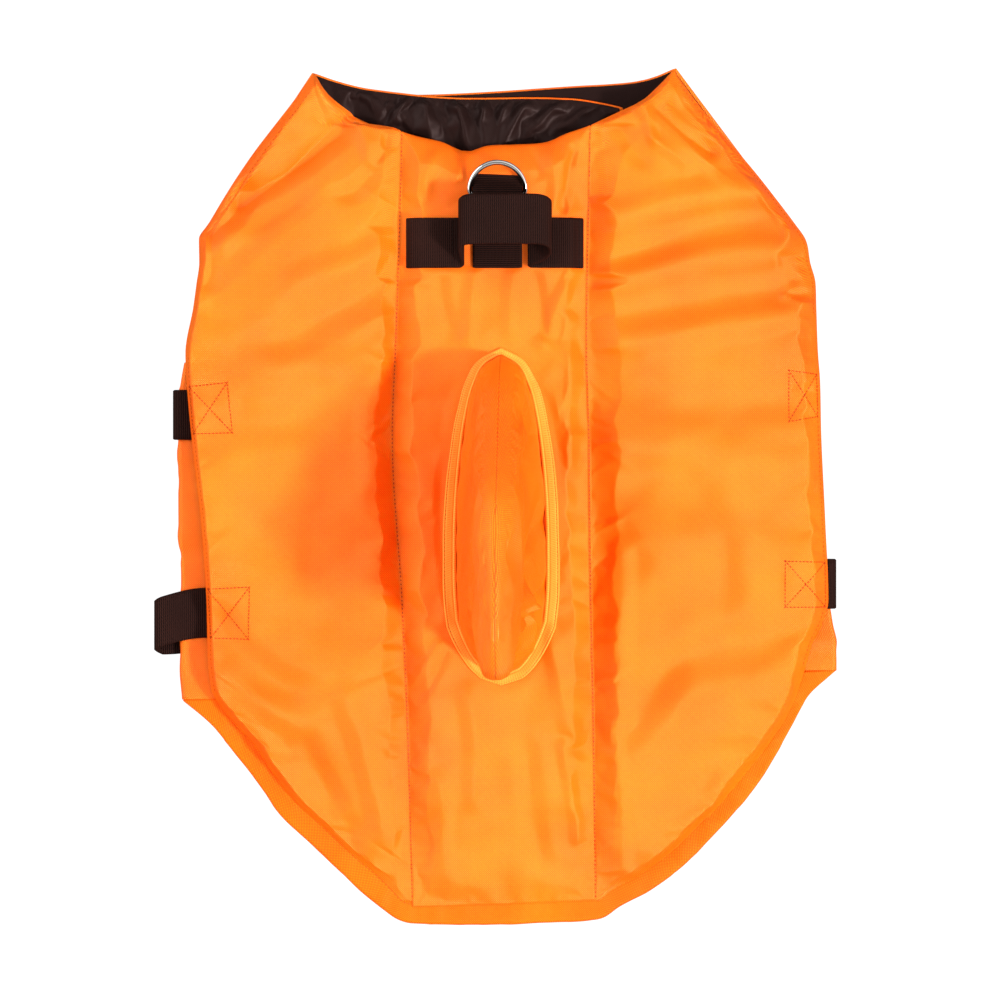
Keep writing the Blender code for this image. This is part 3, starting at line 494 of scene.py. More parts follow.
def flap_plan(table, rows, columns, margin=0.0):
    """A flap in plan from neck to rear, drawn in from its border by a margin."""
    stations = resampled(table, rows)
    share = np.linspace(0.0, 1.0, columns) ** 1.25
    front, rear = stations[:, None, 0:2], stations[:, None, 2:4]
    plan = front + (rear - front) * share[None, :, None]
    if margin:
        inward = margin * (1.0 - 2.0 * share)[None, :, None]
        ends = 2.0 * margin * (1.0 - 2.0 * np.linspace(0.0, 1.0, rows))[:, None, None]
        plan = plan + unit(rear - front) * inward + unit(np.gradient(plan, axis=0)) * ends
    return plan


def flap_rise(x, left):
    """The left flap climbs onto the right one's free end."""
    if not left:
        return np.zeros(np.shape(x))
    return FLAP_STEP * np.clip((x - CLIMB_FROM) / CLIMB_RUN, 0.0, 1.0)


def flap_shell(name, table, left, seed):
    """The outer cloth, a little thicker along its turned edges."""
    plan = flap_plan(table, 120, 56)
    x, y = plan[..., 0], plan[..., 1]
    from_neck = np.linalg.norm(plan - plan[:, :1], axis=2)
    from_rear = np.linalg.norm(plan - plan[:, -1:], axis=2)
    turned = 0.07 * (np.exp(-(from_neck / TURN_WIDTH) ** 4) + np.exp(-(from_rear / TURN_WIDTH) ** 4))
    inside = np.clip(np.minimum(from_neck, from_rear) / 12.0, 0.0, 1.0)
    z = CLOTH / 2 + flap_rise(x, left) + inside * 0.14 * soft_noise(x, y, 14.0, seed)
    return cloth_shell(name, np.dstack([x, y, z + turned]), CLOTH - 0.2, orange_nylon)


def flap_lining(name, table, left):
    """The lining on the flap; only the left one shows, and is gathered."""
    plan = flap_plan(table, 231, 65, LINING_MARGIN)
    x, y = plan[..., 0], plan[..., 1]
    from_neck = np.linalg.norm(plan - plan[:, :1], axis=2)
    free = np.clip(from_neck / 6.0, 0.0, 1.0)
    z = CLOTH + SEAM_GAP + LINING / 2 + flap_rise(x, left)
    if left:
        for place, width, height, length, lean in GATHERS:
            spread = width * (0.45 + 0.55 * np.minimum(from_neck / 14.0, 1.0))
            off = np.clip(np.abs(x - place - lean * from_neck) / spread, 0.0, 1.0)
            run = np.clip(from_neck / length, 0.0, 1.0)
            fade = np.minimum(from_neck / 5.0, 1.0) * (1.0 - run) ** 0.7
            z = z + height * (1.0 - off) ** 1.15 * fade * GATHER_FULLNESS
        z = z + 0.35 * free * (soft_noise(x, y, 6.0, 5) + 1.0)
        middle = gathered(np.dstack([x, y, z]), from_neck)
    else:
        z = z + 0.10 * (1.0 + soft_noise(x, y, 10.0, 6)) * free
        middle = np.dstack([x, y, z])
    return cloth_shell(name, middle, LINING * 0.7, black_lining)


def declare(piece, node, body=JACKET):
    """The body that a piece rides on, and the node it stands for."""
    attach(piece, body)
    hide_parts(node)


def make_flap(side, table, seed):
    left = side == "left"
    shell = flap_shell("chest_flap_" + side, table, left, seed)
    lining = flap_lining("chest_lining_" + side, table, left)
    declare(shell, "chest_flap_" + side)
    declare(lining, "chest_lining_" + side)


make_flap("left", LEFT_FLAP, 11)
make_flap("right", RIGHT_FLAP, 12)


# --------------------------------------------------------------- belly wings
# Two wings of the same nylon, unpadded, sewn under the edges of the back.
# They turn round the sides and overlap under the belly, the left one inside,
# and the belt webbing lies under them.

# The wings by sections from neck to tail: how far out each one's fold reaches.
WINGS = np.array([
    (70.0, -162.6, 164.6), (61.0, -164.2, 165.2), (48.0, -165.6, 165.9), (5.0, -165.6, 168.6),
    (-19.0, -165.4, 170.8), (-38.0, -164.3, 172.8), (-54.0, -164.1, 174.3), (-64.0, -164.1, 175.8),
    (-82.0, -164.6, 178.0), (-90.0, -164.9, 178.0), (-105.0, -163.6, 176.0),
])
# The padded back by sections from neck to tail: its two edges, how high its
# underside is carried at the middle and at the edges, and how thick its foam is.
BACK = np.array([
    (221.0, -94.9, 93.8, 14.0, 3.6, 7.0), (206.0, -105.8, 104.8, 14.0, 3.6, 9.0),
    (193.0, -115.9, 115.2, 13.6, 3.6, 10.5), (181.0, -125.1, 125.6, 13.2, 3.6, 12.0),
    (168.0, -134.1, 136.5, 12.8, 3.6, 13.0), (156.0, -141.7, 145.9, 12.5, 3.6, 13.5),
    (143.0, -149.4, 155.7, 12.5, 4.0, 13.5), (134.5, -154.6, 161.5, 12.5, 4.6, 13.5),
    (122.0, -154.4, 164.0, 12.5, 5.4, 13.5), (112.0, -155.7, 166.6, 12.5, 6.2, 13.5),
    (99.0, -157.4, 167.0, 12.5, 7.4, 13.5), (75.0, -161.4, 167.8, 12.5, 9.0, 13.5),
    (62.0, -160.9, 168.8, 12.5, 9.0, 13.5), (32.0, -158.3, 169.5, 12.5, 9.0, 13.5),
    (-13.0, -153.2, 171.6, 12.5, 9.0, 13.5), (-53.0, -150.5, 173.2, 12.5, 9.0, 13.5),
    (-66.0, -150.2, 169.8, 12.5, 9.0, 13.5), (-75.0, -150.0, 165.4, 12.5, 8.8, 13.5),
    (-92.0, -149.0, 160.2, 12.5, 8.4, 13.5), (-104.0, -146.4, 156.2, 12.4, 7.4, 13.4),
    (-113.6, -139.6, 151.9, 12.0, 6.0, 13.0), (-130.3, -125.1, 141.2, 10.8, 3.4, 12.0),
    (-142.7, -117.0, 131.4, 9.6, 1.6, 11.0), (-159.9, -104.3, 117.8, 7.4, 0.6, 10.0),
    (-172.6, -90.4, 105.2, 5.4, 0.3, 9.0), (-185.0, -77.8, 92.6, 3.4, 0.3, 8.0),
    (-197.5, -62.7, 75.6, 1.6, 0.3, 6.5), (-206.0, -54.2, 60.0, 0.7, 0.3, 5.0),
    (-211.0, -48.6, 53.4, 0.3, 0.3, 4.0),
])
LEFT, RIGHT, LIFT_MID, LIFT_EDGE, FOAM = 1, 2, 3, 4, 5
WING_TUCK = 7.0
WING_TOP = 6.1
WING_OVERLAP = 42.0
WING_NECK = 70.0
WING_REAR = {-1: -105.1, 1: -90.1}
BELT_MIDDLE = {"upper": 48.0, "lower": -54.0}
# How high the belt carries the wings, by the way from the middle: a buckle is
# there, and plain webbing further out.
CARRY = [(0.0, 8.8), (34.0, 8.8), (62.0, 4.2), (84.0, 2.2), (400.0, 2.2)]
# Wrinkles that run in from the sewn edge: y, how far in, half width, height.
WING_WRINKLES = [
    (56.0, 40.0, 5.0, 0.9), (38.0, 30.0, 6.0, -0.7), (22.0, 36.0, 7.0, 0.9), (2.0, 26.0, 6.0, -0.8),
    (-14.0, 44.0, 8.0, 1.0), (-28.0, 22.0, 5.0, -0.8), (-46.0, 30.0, 7.0, 0.7), (-70.0, 34.0, 8.0, 0.9),
    (-86.0, 26.0, 6.0, -0.6),
]
WRINKLE_MOST = 0.9
# How much of a wrinkle moves the cloth outwards, along Y and upwards.
WRINKLE_SHARES = (0.7, 0.0, 0.35)


def table_at(table, y, column):
    """A column of a table whose rows run from neck to tail, at any y."""
    rows = np.asarray(table)[::-1]
    return np.interp(y, rows[:, 0], rows[:, column])


def back_at(y, column):
    return table_at(BACK, y, column)


def belt_carry(x, y):
    """How high the wings' underside is carried by the belt below it."""
    total = np.zeros(np.shape(x))
    for middle in BELT_MIDDLE.values():
        share = np.clip(1.0 - (np.abs(y - middle) - 22.0) / 21.0, 0.0, 1.0)
        share = share * share * (3 - 2 * share) * 0.3 + share * 0.7
        total = np.maximum(total, share * np.interp(np.abs(x), *zip(*CARRY)))
    return total


def wing_grid(side):
    """A wing from its seam under the back, round the side, to its free edge."""
    column = LEFT if side < 0 else RIGHT
    turns = np.radians(np.linspace(90.0, -90.0, 17))
    raised = CLOTH + SEAM_GAP + 0.1 if side < 0 else 0.0
    inner = side * np.concatenate([np.linspace(136.0, 50.0, 44), np.linspace(48.0, -WING_OVERLAP, 46)])
    step = np.interp(inner, [-62.0, -45.0], [0.0, raised])
    rows = []
    for y in np.linspace(WING_NECK, WING_REAR[side], 150):
        edge = back_at(y, column)
        outer = smooth_table(WINGS[:, 0], WINGS[:, column], y) - side * CLOTH / 2
        base = belt_carry(inner, np.full(len(inner), y)) + CLOTH / 2 + step
        radius = (WING_TOP - base[0]) / 2
        tuck = side * min(abs(edge), abs(outer) - radius)
        path = [(tuck - side * WING_TUCK * t, WING_TOP) for t in (1.0, 0.75, 0.5, 0.25)]
        for turn in turns:
            path.append((outer - side * radius * (1.0 - math.cos(turn)),
                         base[0] + radius * (1.0 + math.sin(turn))))
        path += [(outer - side * t, base[0]) for t in (8.0, 14.0)]
        path += list(zip(inner, base))
        rows.append([(x, y, z) for x, z in path])
    return np.array(rows)


def wrinkled_wing(middle, side):
    """The same wing with wrinkles where it shows beside the back."""
    way = np.linalg.norm(np.diff(middle, axis=1), axis=2).cumsum(axis=1)
    way = np.concatenate([np.zeros((len(middle), 1)), way], axis=1)
    wave = np.zeros(way.shape)
    for place, length, width, height in WING_WRINKLES:
        lean = 0.35 * math.sin(place)
        off = np.clip(np.abs(middle[..., 1] - place - lean * way) / width, 0.0, 1.0)
        fade = np.clip(way / 5.0, 0.0, 1.0) * np.clip(1.0 - (way - length) / 20.0, 0.0, 1.0)
        wave += height * (0.5 + 0.5 * np.cos(math.pi * off)) * fade
    wave += 0.25 * soft_noise(way, middle[..., 1], 12.0, 40 + side) * np.clip(way / 8.0, 0.0, 1.0)
    normal = grid_normals(middle)
    if (normal[:, 8, 0] * side).mean() < 0:
        normal = -normal
    above = np.clip((middle[..., 2] - 2.2) / 2.0, 0.0, 1.0)
    shown = np.where(np.abs(middle[..., 0]) > 150.0, 1.0, 0.0) * above
    moved = np.clip(wave, -WRINKLE_MOST, WRINKLE_MOST) * shown
    return middle + normal * moved[..., None] * np.array(WRINKLE_SHARES)


def make_wing(side):
    name = "belly_wing_left" if side < 0 else "belly_wing_right"
    wing = cloth_shell(name, wrinkled_wing(wing_grid(side), side), CLOTH * 0.8, orange_nylon)
    declare(wing, name)


make_wing(-1)
make_wing(1)


# ------------------------------------------------------------ belt and buckles
# Two belts of ribbed 25 mm webbing, each sewn under the edge of the back, taken
# round the side and under the belly, and folded round the bar of a plain
# side-release buckle of moulded plastic, which is fastened.

WEBBING_WIDTH = 25.0
WEBBING = 1.5
STRAP_TOP = 7.95
TONGUE = 23.0
# Each strap: y where it is sewn on, y at the start and the end of its fold, and
# how far out the fold reaches.
BELT = {
    ("upper", -1): (43.0, 43.0, 43.0, -168.2), ("upper", 1): (53.0, 53.0, 53.0, 168.9),
    ("lower", -1): (-60.0, -64.5, -69.0, -178.0), ("lower", 1): (-45.0, -45.0, -45.0, 177.6),
}
# The strap's way round the buckle's bar: distance from its middle and height.
BAR_LOOP = [
    (34.0, 0.75), (26.6, 0.75), (24.0, 1.1), (22.7, 2.2), (22.5, 3.6), (22.5, 5.2), (23.2, 6.6),
    (25.2, 7.1), (29.0, 7.1), (32.5, 6.2), (36.5, 4.4), (40.5, 3.0), (45.0, 2.6), (60.0, 2.6),
]
BAR_REACH = BAR_LOOP[0][0]


def close_ribs(across, along, turn):
    """Close ribs across the webbing's width, and rows of thread along them."""
    rib, row = (along * turn).sine(), (across * (turn * 0.62)).sine()
    return rib * 0.30 + rib * row * 0.2


webbing_group = woven_pattern("webbing_weave", 0.0011, 0.5, 1400.0, close_ribs)
black_webbing = fabric("black_webbing", (0.030, 0.010, 0.007), (0.002, 0.001, 0.001), thread=0.0011,
                       roughness=0.62, gloss=0.03, bump=0.30, crinkle=0.05, group=webbing_group)


def webbing_grid(path, width, columns):
    """Points across flat webbing at each point of its path; width is a vector."""
    share = np.linspace(-0.5, 0.5, columns)
    return path[:, None, :] + share[None, :, None] * np.array(width)[None, None, :]


def lay_webbing(name, middle):
    """Webbing round its middle surface, declared with its own length."""
    strap = cloth_shell(name, middle, WEBBING, black_webbing)
    declare(strap, name)


def make_strap(level, side):
    y_side, y_fold, y_under, out = BELT[level, side]
    name = "strap_{}_{}".format(level, "left" if side < 0 else "right")
    middle_y = BELT_MIDDLE[level]
    edge = back_at(y_side, LEFT if side < 0 else RIGHT)
    out -= side * WEBBING / 2
    radius = (STRAP_TOP - WEBBING / 2) / 2
    sewn = side * min(abs(edge), abs(out) - radius - 2.0)
    path = [(sewn - side * t, y_side, STRAP_TOP) for t in (TONGUE, TONGUE / 2, 0.0)]
    for share, angle in zip(np.linspace(0.0, 1.0, 9), np.radians(np.linspace(90.0, -90.0, 9))):
        path.append((out - side * radius * (1.0 - math.cos(angle)), y_fold + (y_under - y_fold) * share,
                     STRAP_TOP - radius + radius * math.sin(angle)))
    start = abs(path[-1][0])
    slope = (middle_y - y_under) / (start - BAR_REACH)
    for reach in (140.0, 110.0, 84.0, 60.0):
        path.append((side * reach, y_under + slope * (start - reach), WEBBING / 2))
    for reach, height in BAR_LOOP:
        path.append((side * reach, middle_y - slope * max(reach - BAR_REACH, 0.0), height))
    path = resampled(path, 260)
    middle = webbing_grid(path, (0.0, WEBBING_WIDTH, 0.0), 13)
    lay_webbing(name, middle)


def moulded_plastic():
    """Matt black acetal with a fine spark-eroded grain."""
    made, tree, shader, place = new_finish("buckle_plastic")
    tone_and_sheen = from_group(tree, tone_and_sheen_group, {"Place": place["Object"], "Patch": 60.0, "Crinkle": 2600.0})
    fill(tree, shader, {
        "Base Color": two_tone(tree, tone_and_sheen["Tone"], (0.010, 0.010, 0.011), (0.024, 0.023, 0.024)),
        "Roughness": tone_and_sheen["Tone"] * 0.2 + 0.32,
        "Normal": relief(tree, tone_and_sheen["Crease"], 0.00006),
    })
    return made


buckle_plastic = moulded_plastic()


def make_buckle_half(node):
    """The moulded half with its edges rounded as the mould leaves them."""
    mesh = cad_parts[node].data.copy()
    bm = bmesh.new()
    bm.from_mesh(mesh)
    bmesh.ops.remove_doubles(bm, verts=bm.verts[:], dist=1e-6)
    bmesh.ops.dissolve_limit(bm, angle_limit=math.radians(1.0), verts=bm.verts[:], edges=bm.edges[:])
    bm.to_mesh(mesh)
    bm.free()
    mesh.materials.clear()
    mesh.materials.append(buckle_plastic)
    half = in_scene("moulded_" + node, mesh)
    bevel = half.modifiers.new("rounded edges", "BEVEL")
    bevel.width = 0.0004
    bevel.segments = 2
    bevel.limit_method = "ANGLE"
    bevel.angle_limit = math.radians(35.0)
    mesh.shade_smooth()
    mesh.set_sharp_from_angle(angle=math.radians(50.0))
    declare(half, node)


for level in BELT_MIDDLE:
    for side in (-1, 1):
        make_strap(level, side)
    for half in ("socket", "plug"):
        make_buckle_half("buckle_{}_{}".format(level, half))


# ------------------------------------------------------------------ padded back
# Satin nylon over foam slabs, quilted into three channels by two long seams. The
# cloth is a little larger than the foam, so it crinkles beside the seams and sags
# into soft folds on the panels; its edges are turned in and stitched through.

# The two quilting seams: y, left x, right x.
SEAMS = np.array([
    (221.0, -48.2, 49.4), (190.0, -48.6, 49.1), (82.0, -51.7, 47.2), (32.0, -53.6, 48.4),
    (-53.0, -48.6, 49.4), (-110.0, -46.0, 50.6), (-214.5, -43.3, 52.3),
])
# The front rim of the back, from its left corner to its right one.
RIM = np.array([
    (-94.9, 222.0), (-87.1, 209.8), (-75.7, 200.4), (-67.3, 194.6), (-53.8, 192.4),
    (-48.6, 190.1), (-39.8, 187.5), (-28.3, 184.9), (-14.8, 179.8), (-4.0, 182.8),
    (10.0, 183.4), (27.3, 184.9), (36.0, 188.8), (49.2, 193.4), (66.3, 201.5),
    (75.0, 205.6), (82.9, 212.4), (93.5, 223.6),
])
TAIL = np.array([(-60.0, -213.6), (-43.0, -213.4), (5.0, -212.0), (30.0, -210.9), (60.0, -209.6)])
LEFT_NECK, RIGHT_NECK, SIDE_TAIL = 220.9, 222.5, -210.5
CENTRE_NECK, CENTRE_TAIL = 190.1, -212.5
# How much of its thickness the foam sinks at a seam, and how thick an edge is.
SEAM_SINK = 0.36
EDGE_THICK = 2.3
# How far in from each edge the foam stands full: y, left, right.
EDGE_SLOPE = [
    (221.0, 4.8, 5.5), (181.0, 4.8, 5.0), (165.0, 4.8, 5.0), (139.0, 4.0, 6.5), (125.0, 3.0, 17.0),
    (116.0, 2.6, 12.0), (106.0, 2.4, 16.0), (101.0, 2.4, 7.0), (95.0, 2.4, 11.0), (60.0, 2.2, 9.0),
    (0.0, 2.2, 8.0), (-60.0, 2.6, 7.0), (-95.0, 3.2, 5.0), (-140.0, 3.4, 4.4), (-215.0, 3.6, 4.4),
]
# How far from each long seam the foam stands full: y, left of the left seam,
# right of the right one. Its straight sides make the teeth of the crinkled cloth.
VALLEYS = [
    (221.0, 11.0, 24.0), (186.0, 11.4, 24.0), (179.0, 8.0, 17.0), (171.0, 9.5, 14.0), (157.0, 11.0, 12.5),
    (152.6, 10.9, 7.5), (148.0, 12.0, 13.0), (140.7, 17.7, 15.6), (136.0, 9.4, 14.0), (124.5, 9.4, 11.0),
    (116.0, 11.5, 11.5), (113.8, 12.0, 21.0), (111.0, 5.7, 22.0), (107.5, 6.5, 12.5), (100.6, 8.8, 13.5),
    (86.0, 6.2, 16.0), (67.0, 6.2, 17.0), (52.0, 8.0, 17.0), (38.0, 10.0, 13.0), (20.0, 7.0, 16.0),
    (4.0, 9.5, 12.0), (-22.0, 8.0, 14.0), (-40.0, 11.0, 11.0), (-60.0, 8.0, 13.0), (-84.0, 12.0, 11.5),
    (-110.0, 8.0, 13.0), (-136.0, 10.0, 10.0), (-160.0, 7.0, 11.0), (-186.0, 8.5, 8.0), (-215.0, 8.0, 8.0),
]
# Further than any channel is wide, in millimetres.
FAR = 99.0
# Folds of the top cloth: from x, y to x, y, half width, height, how sharp.
FOLDS = [
    # left panel
    (-77.0, 194.0, -130.0, 156.0, 19.0, -3.8, 1.0), (-82.0, 188.0, -128.0, 157.0, 9.0, -2.4, 1.0),
    (-132.0, 155.0, -147.0, 136.0, 9.0, -2.6, 0.9), (-146.0, 136.0, -150.0, 112.0, 7.0, -1.4, 0.8),
    (-146.0, 118.0, -104.0, 152.0, 11.0, -1.6, 0.3), (-78.0, 158.0, -64.0, 166.0, 8.0, -1.6, 0.6),
    (-64.0, 103.0, -128.0, 77.0, 15.0, -2.0, 0.1), (-62.0, 130.0, -104.0, 108.0, 12.0, 1.5, 0.1),
    (-88.0, 66.0, -150.0, 82.0, 14.0, 1.1, 0.1), (-150.0, 30.0, -92.0, 44.0, 16.0, -1.2, 0.1),
    (-142.0, -71.0, -108.0, -100.0, 15.0, -2.8, 0.2), (-133.0, -104.0, -88.0, -154.0, 12.0, -1.2, 0.2),
    (-76.0, -105.0, -58.0, -176.0, 10.0, 1.3, 0.2), (-120.0, -20.0, -84.0, -60.0, 20.0, -1.4, 0.0),
    (-66.0, 178.0, -72.0, 196.0, 6.0, 1.0, 0.6), (-60.0, 176.0, -56.0, 186.0, 4.0, -1.1, 0.7),
    (-66.0, 60.0, -66.0, 10.0, 9.0, 0.9, 0.2), (-96.0, -128.0, -72.0, -190.0, 9.0, -1.0, 0.2),
    # right panel
    (62.0, 147.0, 137.0, 160.0, 12.0, 2.0, 0.15), (68.0, 128.0, 134.0, 144.0, 14.0, -2.2, 0.1),
    (62.0, 115.0, 150.0, 128.0, 12.0, 2.0, 0.1), (68.0, 96.0, 146.0, 106.0, 15.0, -2.1, 0.1),
    (66.0, 84.0, 158.0, 96.0, 13.0, 1.4, 0.1), (66.0, 60.0, 150.0, 48.0, 18.0, -1.4, 0.05),
    (70.0, 26.0, 152.0, 20.0, 18.0, 1.2, 0.05), (74.0, -12.0, 154.0, -34.0, 20.0, 1.4, 0.05),
    (75.0, 203.0, 82.0, 186.0, 4.5, 1.6, 0.9), (80.0, 188.0, 98.0, 172.0, 6.0, 1.5, 0.9),
    (77.0, 203.0, 120.0, 167.0, 8.0, 1.8, 0.8), (84.0, 200.0, 110.0, 180.0, 6.0, -2.0, 0.8),
    (64.0, 190.0, 76.0, 176.0, 7.0, -1.2, 0.4), (82.0, -96.0, 140.0, -70.0, 18.0, -1.6, 0.1),
    (70.0, -150.0, 96.0, -100.0, 15.0, 1.6, 0.2), (84.0, -186.0, 118.0, -148.0, 9.0, 1.0, 0.2),
    (134.0, -56.0, 120.0, 0.0, 16.0, 1.0, 0.0), (64.0, -30.0, 66.0, -110.0, 9.0, 1.1, 0.3),
    (62.0, -120.0, 66.0, -190.0, 7.0, 1.0, 0.4), (137.0, 164.0, 152.0, 138.0, 6.0, 1.1, 0.8),
    (152.0, 138.0, 147.0, 124.0, 5.0, 1.1, 0.9), (147.0, 124.0, 153.0, 114.0, 4.5, -1.0, 0.8),
    (151.0, 106.0, 161.0, 110.0, 4.5, 1.1, 0.8), (96.0, 200.0, 122.0, 166.0, 6.0, -0.9, 0.3),
    # middle panel
    (-9.0, 119.0, -15.0, 84.0, 6.0, 1.1, 0.6), (10.0, 116.0, 6.0, 80.0, 6.0, 1.0, 0.7),
    (20.0, 114.0, 27.0, 84.0, 5.0, -1.0, 0.7), (41.0, 116.0, 25.0, 82.0, 6.0, 1.2, 0.7),
    (38.0, 92.0, 40.0, 20.0, 5.0, 1.0, 0.6), (-28.0, 110.0, -24.0, 86.0, 6.0, -0.8, 0.4),
    (40.0, 180.0, 35.0, 144.0, 5.0, -1.3, 0.7), (30.0, 184.0, 30.0, 150.0, 6.0, 0.9, 0.6),
    (-30.0, 184.0, -36.0, 162.0, 6.0, 0.9, 0.5), (-14.0, 180.0, -20.0, 166.0, 4.0, 0.8, 0.7),
    (44.0, 186.0, 43.0, 172.0, 3.0, 0.8, 0.8), (18.0, 182.0, 22.0, 168.0, 4.0, -0.7, 0.6),
    (-13.0, -104.0, -10.0, -154.0, 9.0, 1.2, 0.2), (-30.0, -76.0, -42.0, -96.0, 3.5, 0.8, 0.8),
    (-26.0, -82.0, -38.0, -104.0, 3.5, -0.7, 0.8), (26.0, -70.0, 40.0, -120.0, 7.0, 1.0, 0.5),
    (14.0, -130.0, 24.0, -186.0, 9.0, -0.9, 0.2), (36.0, -130.0, 42.0, -176.0, 5.0, 1.1, 0.6),
    (-30.0, -150.0, -24.0, -196.0, 8.0, 0.8, 0.2),
]
# Where each edge is stitched through: y, how far in on the left and right.
EDGE_STITCH = [(221.0, 4.6, 1.6), (150.0, 4.8, 1.8), (128.0, 2.4, 1.8), (80.0, 1.8, 1.8), (-215.0, 1.8, 1.8)]
RIM_STITCH = 2.2


def seam_at(y, column):
    return smooth_table(SEAMS[:, 0], SEAMS[:, column], y)


def edge_at(y, column):
    return smooth_table(BACK[:, 0], BACK[:, column], y)


def rise(distance, width):
    """From 0 at a seam to 1 where the foam is full, as a quarter round."""
    near = np.clip(distance / width, 0.0, 1.0)
    return np.sqrt(1.0 - (1.0 - near) ** 2)


def swell(distance, width, rounded):
    """The same, but round for a share of the height and straight for the rest."""
    return rounded * rise(distance, width) + (1.0 - rounded) * np.clip(distance / width, 0.0, 1.0)


def zigzag(y, step, seed):
    """Uneven straight-sided waver between -1 and 1 along y."""
    rng = np.random.default_rng(seed)
    knots = np.cumsum(rng.uniform(0.45, 1.55, 90) * step) - 260.0
    values = rng.uniform(-1.0, 1.0, 90)
    return np.interp(y, knots, values)


def puckers(y, off, seed, count, reach, height):
    """Short creases that start at a seam and die away over the panel."""
    rng = np.random.default_rng(seed)
    total = np.zeros(np.shape(y))
    places = np.linspace(-212.0, 214.0, count) + rng.uniform(-0.5, 0.5, count) * 420.0 / count
    for place in places:
        width = rng.uniform(2.2, 5.5)
        lean = rng.uniform(-0.9, 0.9)
        size = height * rng.uniform(-1.0, 1.0)
        far = reach * rng.uniform(0.5, 1.5)
        t = np.clip(np.abs(y - place - lean * off) / (width * (0.5 + off / reach)), 0.0, 1.0)
        total += size * (1.0 - t) ** 1.4 * np.clip(off / 2.5, 0.0, 1.0) * np.clip(1.0 - off / far, 0.0, 1.0)
    return total


# How a fold bows sideways, how far it runs out past its ends, both as shares of
# its half width, and the power that gives a sharp fold its sides.
FOLD_BOW = 0.16
FOLD_RUN_OUT = 1.4
FOLD_SIDES = 1.12


def creases(x, y, table):
    """Soft ridges and troughs: from, to, half width, height and how sharp each is."""
    total = np.zeros(np.shape(x))
    for x0, y0, x1, y1, width, height, sharp in table:
        run = np.array([x1 - x0, y1 - y0])
        length = math.hypot(*run)
        along = ((x - x0) * run[0] + (y - y0) * run[1]) / length
        bow = FOLD_BOW * width * np.sin(along / length * math.pi * 1.3 + x0)
        off = ((x - x0) * run[1] - (y - y0) * run[0]) / length + bow
        past = np.maximum(np.maximum(-along, along - length), 0.0)
        taper = np.clip(1.0 - past / (FOLD_RUN_OUT * width), 0.0, 1.0)
        side = np.clip(np.abs(off) / width, 0.0, 1.0)
        soft = 0.5 + 0.5 * np.cos(math.pi * side)
        crisp = (1.0 - side) ** FOLD_SIDES
        total += height * taper * taper * (3 - 2 * taper) * (soft * (1 - sharp) + crisp * sharp)
    return total


def panel_folds(x, y):
    """All the folds and the slow unevenness of the top cloth."""
    return 2.0 * creases(x, y, FOLDS) + 1.5 * soft_noise(x, y, 30.0, 3) + 0.45 * soft_noise(x, y, 12.0, 4)


def back_lift(x, y):
    """How high the back's underside is carried: most at the middle."""
    left, right = back_at(y, LEFT), back_at(y, RIGHT)
    share = np.clip(np.abs(x - (left + right) / 2) / ((right - left) / 2), 0.0, 1.0)
    high, low = back_at(y, LIFT_MID), back_at(y, LIFT_EDGE)
    return high + (low - high) * share ** 2.2


def edge_distance(x, y, column):
    """The true way from a side edge, whose outline may run on the slant."""
    ys = y[:, 0]
    edge = edge_at(ys, column)
    slope = np.gradient(edge, ys)
    return np.abs(x - edge[:, None]) / np.sqrt(1.0 + slope[:, None] ** 2)


def line_distance(x, y, line):
    """The way from each point to the nearest place on a line of corners."""
    nearest = np.full(np.shape(x), FAR)
    for (ax, ay), (bx, by) in zip(line[:-1], line[1:]):
        square = max((bx - ax) ** 2 + (by - ay) ** 2, 1e-9)
        share = np.clip(((x - ax) * (bx - ax) + (y - ay) * (by - ay)) / square, 0.0, 1.0)
        nearest = np.minimum(nearest, np.hypot(x - ax - (bx - ax) * share, y - ay - (by - ay) * share))
    return nearest


# Over what width the foam sinks to a seam, how much of its height is rounded at
# a seam and at an edge, and how deep the stitching draws the cloth in.
SINK_WIDTH = 13.0
SEAM_ROUND, RIM_ROUND = 0.12, 0.25
STITCH_DRAW = 0.12


def pad_surface(x, y, from_seam, seam_width, from_edge, stitch_in, edge_width, extra):
    """Bottom and top of a channel of foam at each point, in millimetres."""
    foam, lift = back_at(y, FOAM), back_lift(x, y)
    sunk = SEAM_SINK * foam * (1.0 - rise(from_seam, SINK_WIDTH))
    low = lift + sunk
    full = np.minimum(swell(from_seam - 0.3, seam_width, SEAM_ROUND),
                      swell(from_edge - 0.7, edge_width, RIM_ROUND))
    lip = EDGE_THICK * (0.45 + 0.55 * rise(from_edge, 1.3)) * (0.6 + 0.4 * rise(from_seam, 2.0))
    groove = STITCH_DRAW * np.exp(-((from_edge - stitch_in) / 0.8) ** 2)
    high = low + lip - groove + np.maximum(foam - sunk - EDGE_THICK, 0.0) * full
    return low, high + extra * np.clip(full * 1.25, 0.0, 1.0)


def laid_uv(points):
    """The plan of cloth that lies flat, its steep walls let out beyond it."""
    laid = []
    for axis, along in ((1, 0), (0, 1)):
        run = np.diff(points[..., along], axis=axis)
        drop = np.maximum(np.abs(np.diff(points[..., 2], axis=axis)) - np.abs(run), 0.0) * np.sign(run)
        hang = np.zeros(points.shape[:2])
        hang[(slice(None), slice(1, None)) if axis else slice(1, None)] = np.cumsum(drop, axis=axis)
        middle = hang.shape[axis] // 2
        laid.append(points[..., along] + hang - hang.take([middle], axis=axis))
    return np.dstack(laid) * MM


# The underside has a point for every fourth one of the top.
COARSE = 4


